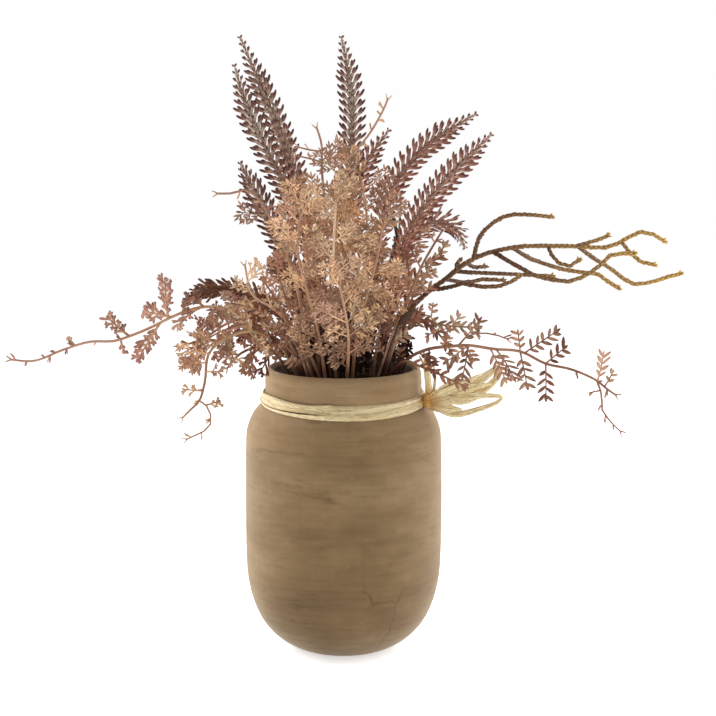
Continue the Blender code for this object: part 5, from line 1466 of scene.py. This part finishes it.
def rounded(profile, times):
    """A profile with its corners cut again and again until it is smooth."""
    for _ in range(times):
        cut = [profile[0]]
        for (r, z), (s, w) in zip(profile, profile[1:]):
            cut += [(0.75 * r + 0.25 * s, 0.75 * z + 0.25 * w), (0.25 * r + 0.75 * s, 0.25 * z + 0.75 * w)]
        profile = cut + [profile[-1]]
    return profile


def fine_jar():
    """The jar: a smooth turned body with a rolled lip, plain inside."""
    sides = 160
    outer = rounded(JAR_PROFILE[:JAR_INSIDE], 4)
    inner = rounded(JAR_PROFILE[JAR_INSIDE - 1:], 2)[1:]
    profile = [(r + 0.04 * math.sin(z * 1.35), z) for r, z in outer] + inner
    shape = Shape()
    # Which points lie on the inside wall, for its painted shade.
    inside = np.repeat([0.0] * len(outer) + [1.0] * len(inner), sides)
    shape.add(*turned(profile, sides, 0.12), across=inside)
    return shape


def fine_foam():
    """The foam's crumbly top and its plain sides."""
    rng = random.Random(3)
    profile = [(12, 6.3), (30, 11.8), (39.0, 28), (39.2, FOAM_TOP - 2)]
    profile += [(r, FOAM_TOP) for r in (38.6, 35, 31, 27, 23, 19, 15, 11, 7, 3)]
    points, faces = turned(profile, 72)
    points = [(x, y, z + (rng.uniform(-1.3, 0.6) if z >= FOAM_TOP else 0.0)) for x, y, z in points]
    shape = Shape()
    shape.add(points, faces)
    return shape


def take_room(stems):
    """The room that the solid stems, the tie and the plumes' needles take."""
    room = Room()
    for name, (foot, line, radius) in stems.items():
        room.add(name, twig_rods(line) if name == "twig_branch" else bar_rods(line[::2] + line[-1:], radius))
        room.add(name, branch_rods(name))
    room.add("raffia_tie", raffia_rods())
    for k, (name, (look, start, *_)) in enumerate(PLUMES.items()):
        plume_needles(name, *stems[name][:2], start, room, 40 + k)
    return room


def solid_leaves(name, foot, line, room, seed):
    """A spray's side branches, and its leaves where the solid ones lie."""
    main = with_foot(foot, line, 11.0)
    branches = [joined(main, side, 6.0) for side in SPRAYS[name][-1][1:]]
    listed = [(Vector(a), Vector(b), n) for a, b, n in LEAVES.get(name, [])]
    if name in LEAF_RULES:
        listed += rule_leaves(line, *LEAF_RULES[name], seed)
    leaves = [lay_leaf(name, [main] + branches, base, tip, pairs, room, seed * 50 + m)
              for m, (base, tip, pairs) in enumerate(listed)]
    return branches, [leaf for leaf in leaves if leaf]


def draw_leaf(name, shape, leaf, lobe, rng):
    """A frond on a tan spray, unless it has lobes, and leaflets or lobes on the others."""
    if name.startswith("tan_") and not lobe:
        frond(shape, leaf, rng)
    else:
        leafy(shape, leaf, rng, lobe)


def thin_stem(name, route, thick, taper, room, girth=0.8, **settings):
    """The stem of an added spray, from the foam up: its line, and a shape to hang leaves on."""
    line = smooth_line(route, 2.0)
    shape = Shape()
    shape.bar(line, narrowing(line, thick, taper), along=0.1, **settings)
    room.add(name, bar_rods(line[::2], girth))
    return line, shape


def hang_leaves(name, line, shape, listed, lobe, room, seed, rng):
    """Draws those of the listed leaves that have room, each with its own seed."""
    for m, (base, tip, pairs) in enumerate(listed):
        leaf = lay_leaf(name, [line], base, tip, pairs, room, seed + m)
        if leaf:
            draw_leaf(name, shape, leaf, lobe, rng)


def dress_plumes(stems, room, looks):
    for k, name in enumerate(PLUMES):
        plume = Plume(name, *stems[name][:2], room, 140 + k)
        piece(name + "_fine", plume.shape, looks[PLUMES[name][0]], name)


def dress_sprays(stems, leaves, room, looks, rng):
    bud_rng = random.Random(99)
    for name, (kind, crowded, bare, lobe, routes) in SPRAYS.items():
        foot, line, radius = stems[name]
        branches, found = leaves[name]
        shape = Shape()
        path = with_foot(foot, line, 4.0)
        shape.bar(path, narrowing(path, radius, 0.4 * radius, 1.3), 7, along=0.1)
        for branch in branches:
            shape.bar(branch, narrowing(branch, 0.62, 0.25), 6, (0.5, 1.0), along=0.1)
        for leaf in found + extra_leaves(name, line, *crowded, room, rng):
            draw_leaf(name, shape, leaf, lobe, rng)
        for run, start in [(line, bare)] + [(branch, 0.3) for branch in branches]:
            buds(shape, spaced(run, 3.4), start, bud_rng)
        piece(name + "_fine", shape, looks[kind], name)


def add_fillers(room, looks, rng):
    for k, (name, (kind, length, lobe, route)) in enumerate(FILLERS.items()):
        line, shape = thin_stem(name, route, 0.85, 0.45, room, sides=7)
        count = max(4, round((line[-1] - line[0]).length / 9.0))
        listed = rule_leaves(line, 0.3, 1.0, count, length, 500 + k)
        hang_leaves(name, line, shape, listed, lobe, room, 9000 + 50 * k, rng)
        piece(name, shape, looks[kind])


def add_paired(room, looks):
    for k, (name, (kind, size, route)) in enumerate(PAIRED.items()):
        line, shape = thin_stem(name, route, 0.9, 0.4, room, sides=7)
        paired(shape, name, line, size, room, random.Random(810 + k))
        piece(name, shape, looks[kind])


def add_broad_leaf(looks):
    stalk, tip = BROAD_LEAF
    line = smooth_line(stalk, 2.0)
    shape = Shape()
    shape.bar(line, 0.7, 7, chance=0.3, along=0.1)
    shape.stamp(LEAFLET, line[-1], Vector(tip) - line[-1], Vector((0, -1, 0.3)), (12.5, 2.2, 1.8), 0.9, 0.1)
    piece("leafy_right_broad", shape, looks["leaf_dark"])


def add_pale_stem(room, looks, rng):
    name = "tan_filigree_stem"
    line, shape = thin_stem(name, PALE_STEM, 0.95, 0.3, room, 1.1, sides=8, chance=0.7)
    hang_leaves(name, line, shape, rule_leaves(line, 0.35, 1.0, 8, 17, 640), 0.0, room, 9900, rng)
    piece(name, shape, looks["leaf_straw"])


def add_tufts(room, looks):
    rng = random.Random(31)
    for k in range(TUFTS):
        turn = 2.4 * k
        out = Vector((math.cos(turn), math.sin(turn), 0.0))
        near = 5.0 + 22.0 * ((k * 0.618) % 1.0)
        line = smooth_line([out * (near + lean) + UP * z for lean, z in TUFT_CURVE], 1.5)
        shape = Shape()
        shape.bar(line, 0.6, 6, chance=0.3)
        for base, tip, pairs in rule_leaves(line, 0.2, 1.0, 9, 11.0, 700 + k):
            leaf = lay_leaf("tuft%d" % k, [line], base, tip, pairs, room, rng.randrange(99999), 16)
            if leaf:
                leafy(shape, leaf, rng)
        piece("leafy_base_%d" % k, shape, looks["leaf_dark"])


def dress_rest(stems):
    """The twig, the green stems, the tie, the jar and the foam."""
    foot, line, radius = stems["twig_branch"]
    piece("twig_branch_fine", fine_twig(foot, line), twig_look(), "twig_branch")
    for name, (slot, dark, pale) in GREEN_LOOKS.items():
        piece(name + "_fine", green_shape(name, *stems[name]), stem_look(name, dark, pale), name)
    piece("raffia_tie_fine", fine_raffia(), raffia_look(), "raffia_tie")
    piece("jar_fine", fine_jar(), clay_look(), "jar")
    piece("foam_block_fine", fine_foam(), foam_look(), "foam_block")


def build():
    """Lays everything out as the solids lie, then dresses it. The order settles what finds room."""
    stems = lay_stems()
    room = take_room(stems)
    leaves = {name: solid_leaves(name, *stems[name][:2], room, 300 + k) for k, name in enumerate(SPRAYS)}
    looks = {name: foliage_look(name, *values) for name, values in FOLIAGE.items()}
    dress_plumes(stems, room, looks)
    rng = random.Random(77)
    dress_sprays(stems, leaves, room, looks, rng)
    add_fillers(room, looks, rng)
    add_paired(room, looks)
    add_broad_leaf(looks)
    add_pale_stem(room, looks, rng)
    add_tufts(room, looks)
    dress_rest(stems)


def linked(name, data):
    """Puts a light, a camera or a mesh in the scene."""
    ob = bpy.data.objects.new(name, data)
    bpy.context.scene.collection.objects.link(ob)
    return ob


def light_studio(scene):
    """A white studio: the world is bright to the camera and half as bright as a light."""
    scene.view_settings.view_transform = "Standard"
    world = bpy.data.worlds.new("studio")
    scene.world = world
    world.use_nodes = True
    tree = world.node_tree
    back = tree.nodes["Background"]
    back.inputs["Color"].default_value = (1.0, 1.0, 1.0, 1.0)
    path = node(tree, "LightPath")
    strength = node(tree, "MapRange", {"Value": path.outputs["Is Camera Ray"], "To Min": 0.5, "To Max": 1.0})
    tree.links.new(strength.outputs[0], back.inputs["Strength"])
    for name, (spot, size, power) in LAMPS.items():
        light = bpy.data.lights.new(name, "AREA")
        light.size = size
        light.energy = power
        lamp = linked(name, light)
        lamp.location = spot
        lamp.rotation_euler = (LAMP_AIM - Vector(spot)).to_track_quat("-Z", "Y").to_euler()


def lay_floor():
    """A pale floor that glows enough to meet the white behind it."""
    mesh = bpy.data.meshes.new("studio_floor")
    corners = [(x * FLOOR_HALF, y * FLOOR_HALF, 0) for x, y in ((-1, -1), (1, -1), (1, 1), (-1, 1))]
    mesh.from_pydata(corners, [], [(0, 1, 2, 3)])
    floor = linked("studio_floor", mesh)
    mat, tree, bsdf = look("pale_floor", 0.9, 0.1)
    shade = ramp(tree, noise(tree, 30.0), [(0.3, (0.93, 0.93, 0.93)), (0.7, (0.96, 0.96, 0.96))])
    tree.links.new(shade, bsdf.inputs["Base Color"])
    bsdf.inputs["Emission Color"].default_value = (1.0, 1.0, 1.0, 1.0)
    bsdf.inputs["Emission Strength"].default_value = FLOOR_GLOW
    mesh.materials.append(mat)


def aim_camera(scene):
    """The photograph's view: level with it, a little above, and as many pixels to the millimetre."""
    lens = bpy.data.cameras.new("camera")
    camera = linked("camera", lens)
    tilt = math.radians(CAMERA_TILT)
    camera.location = (AIM_X, -CAMERA_AWAY * math.cos(tilt), AIM_Z + CAMERA_AWAY * math.sin(tilt))
    camera.rotation_euler = (math.radians(90) - tilt, 0.0, 0.0)
    lens.lens = SENSOR * PIXELS_PER_MM * (CAMERA_AWAY / MM) / PICTURE_PIXELS
    lens.sensor_width = SENSOR
    lens.clip_start = 0.05
    lens.clip_end = 20.0
    scene.camera = camera


build()
light_studio(bpy.context.scene)
lay_floor()
aim_camera(bpy.context.scene)
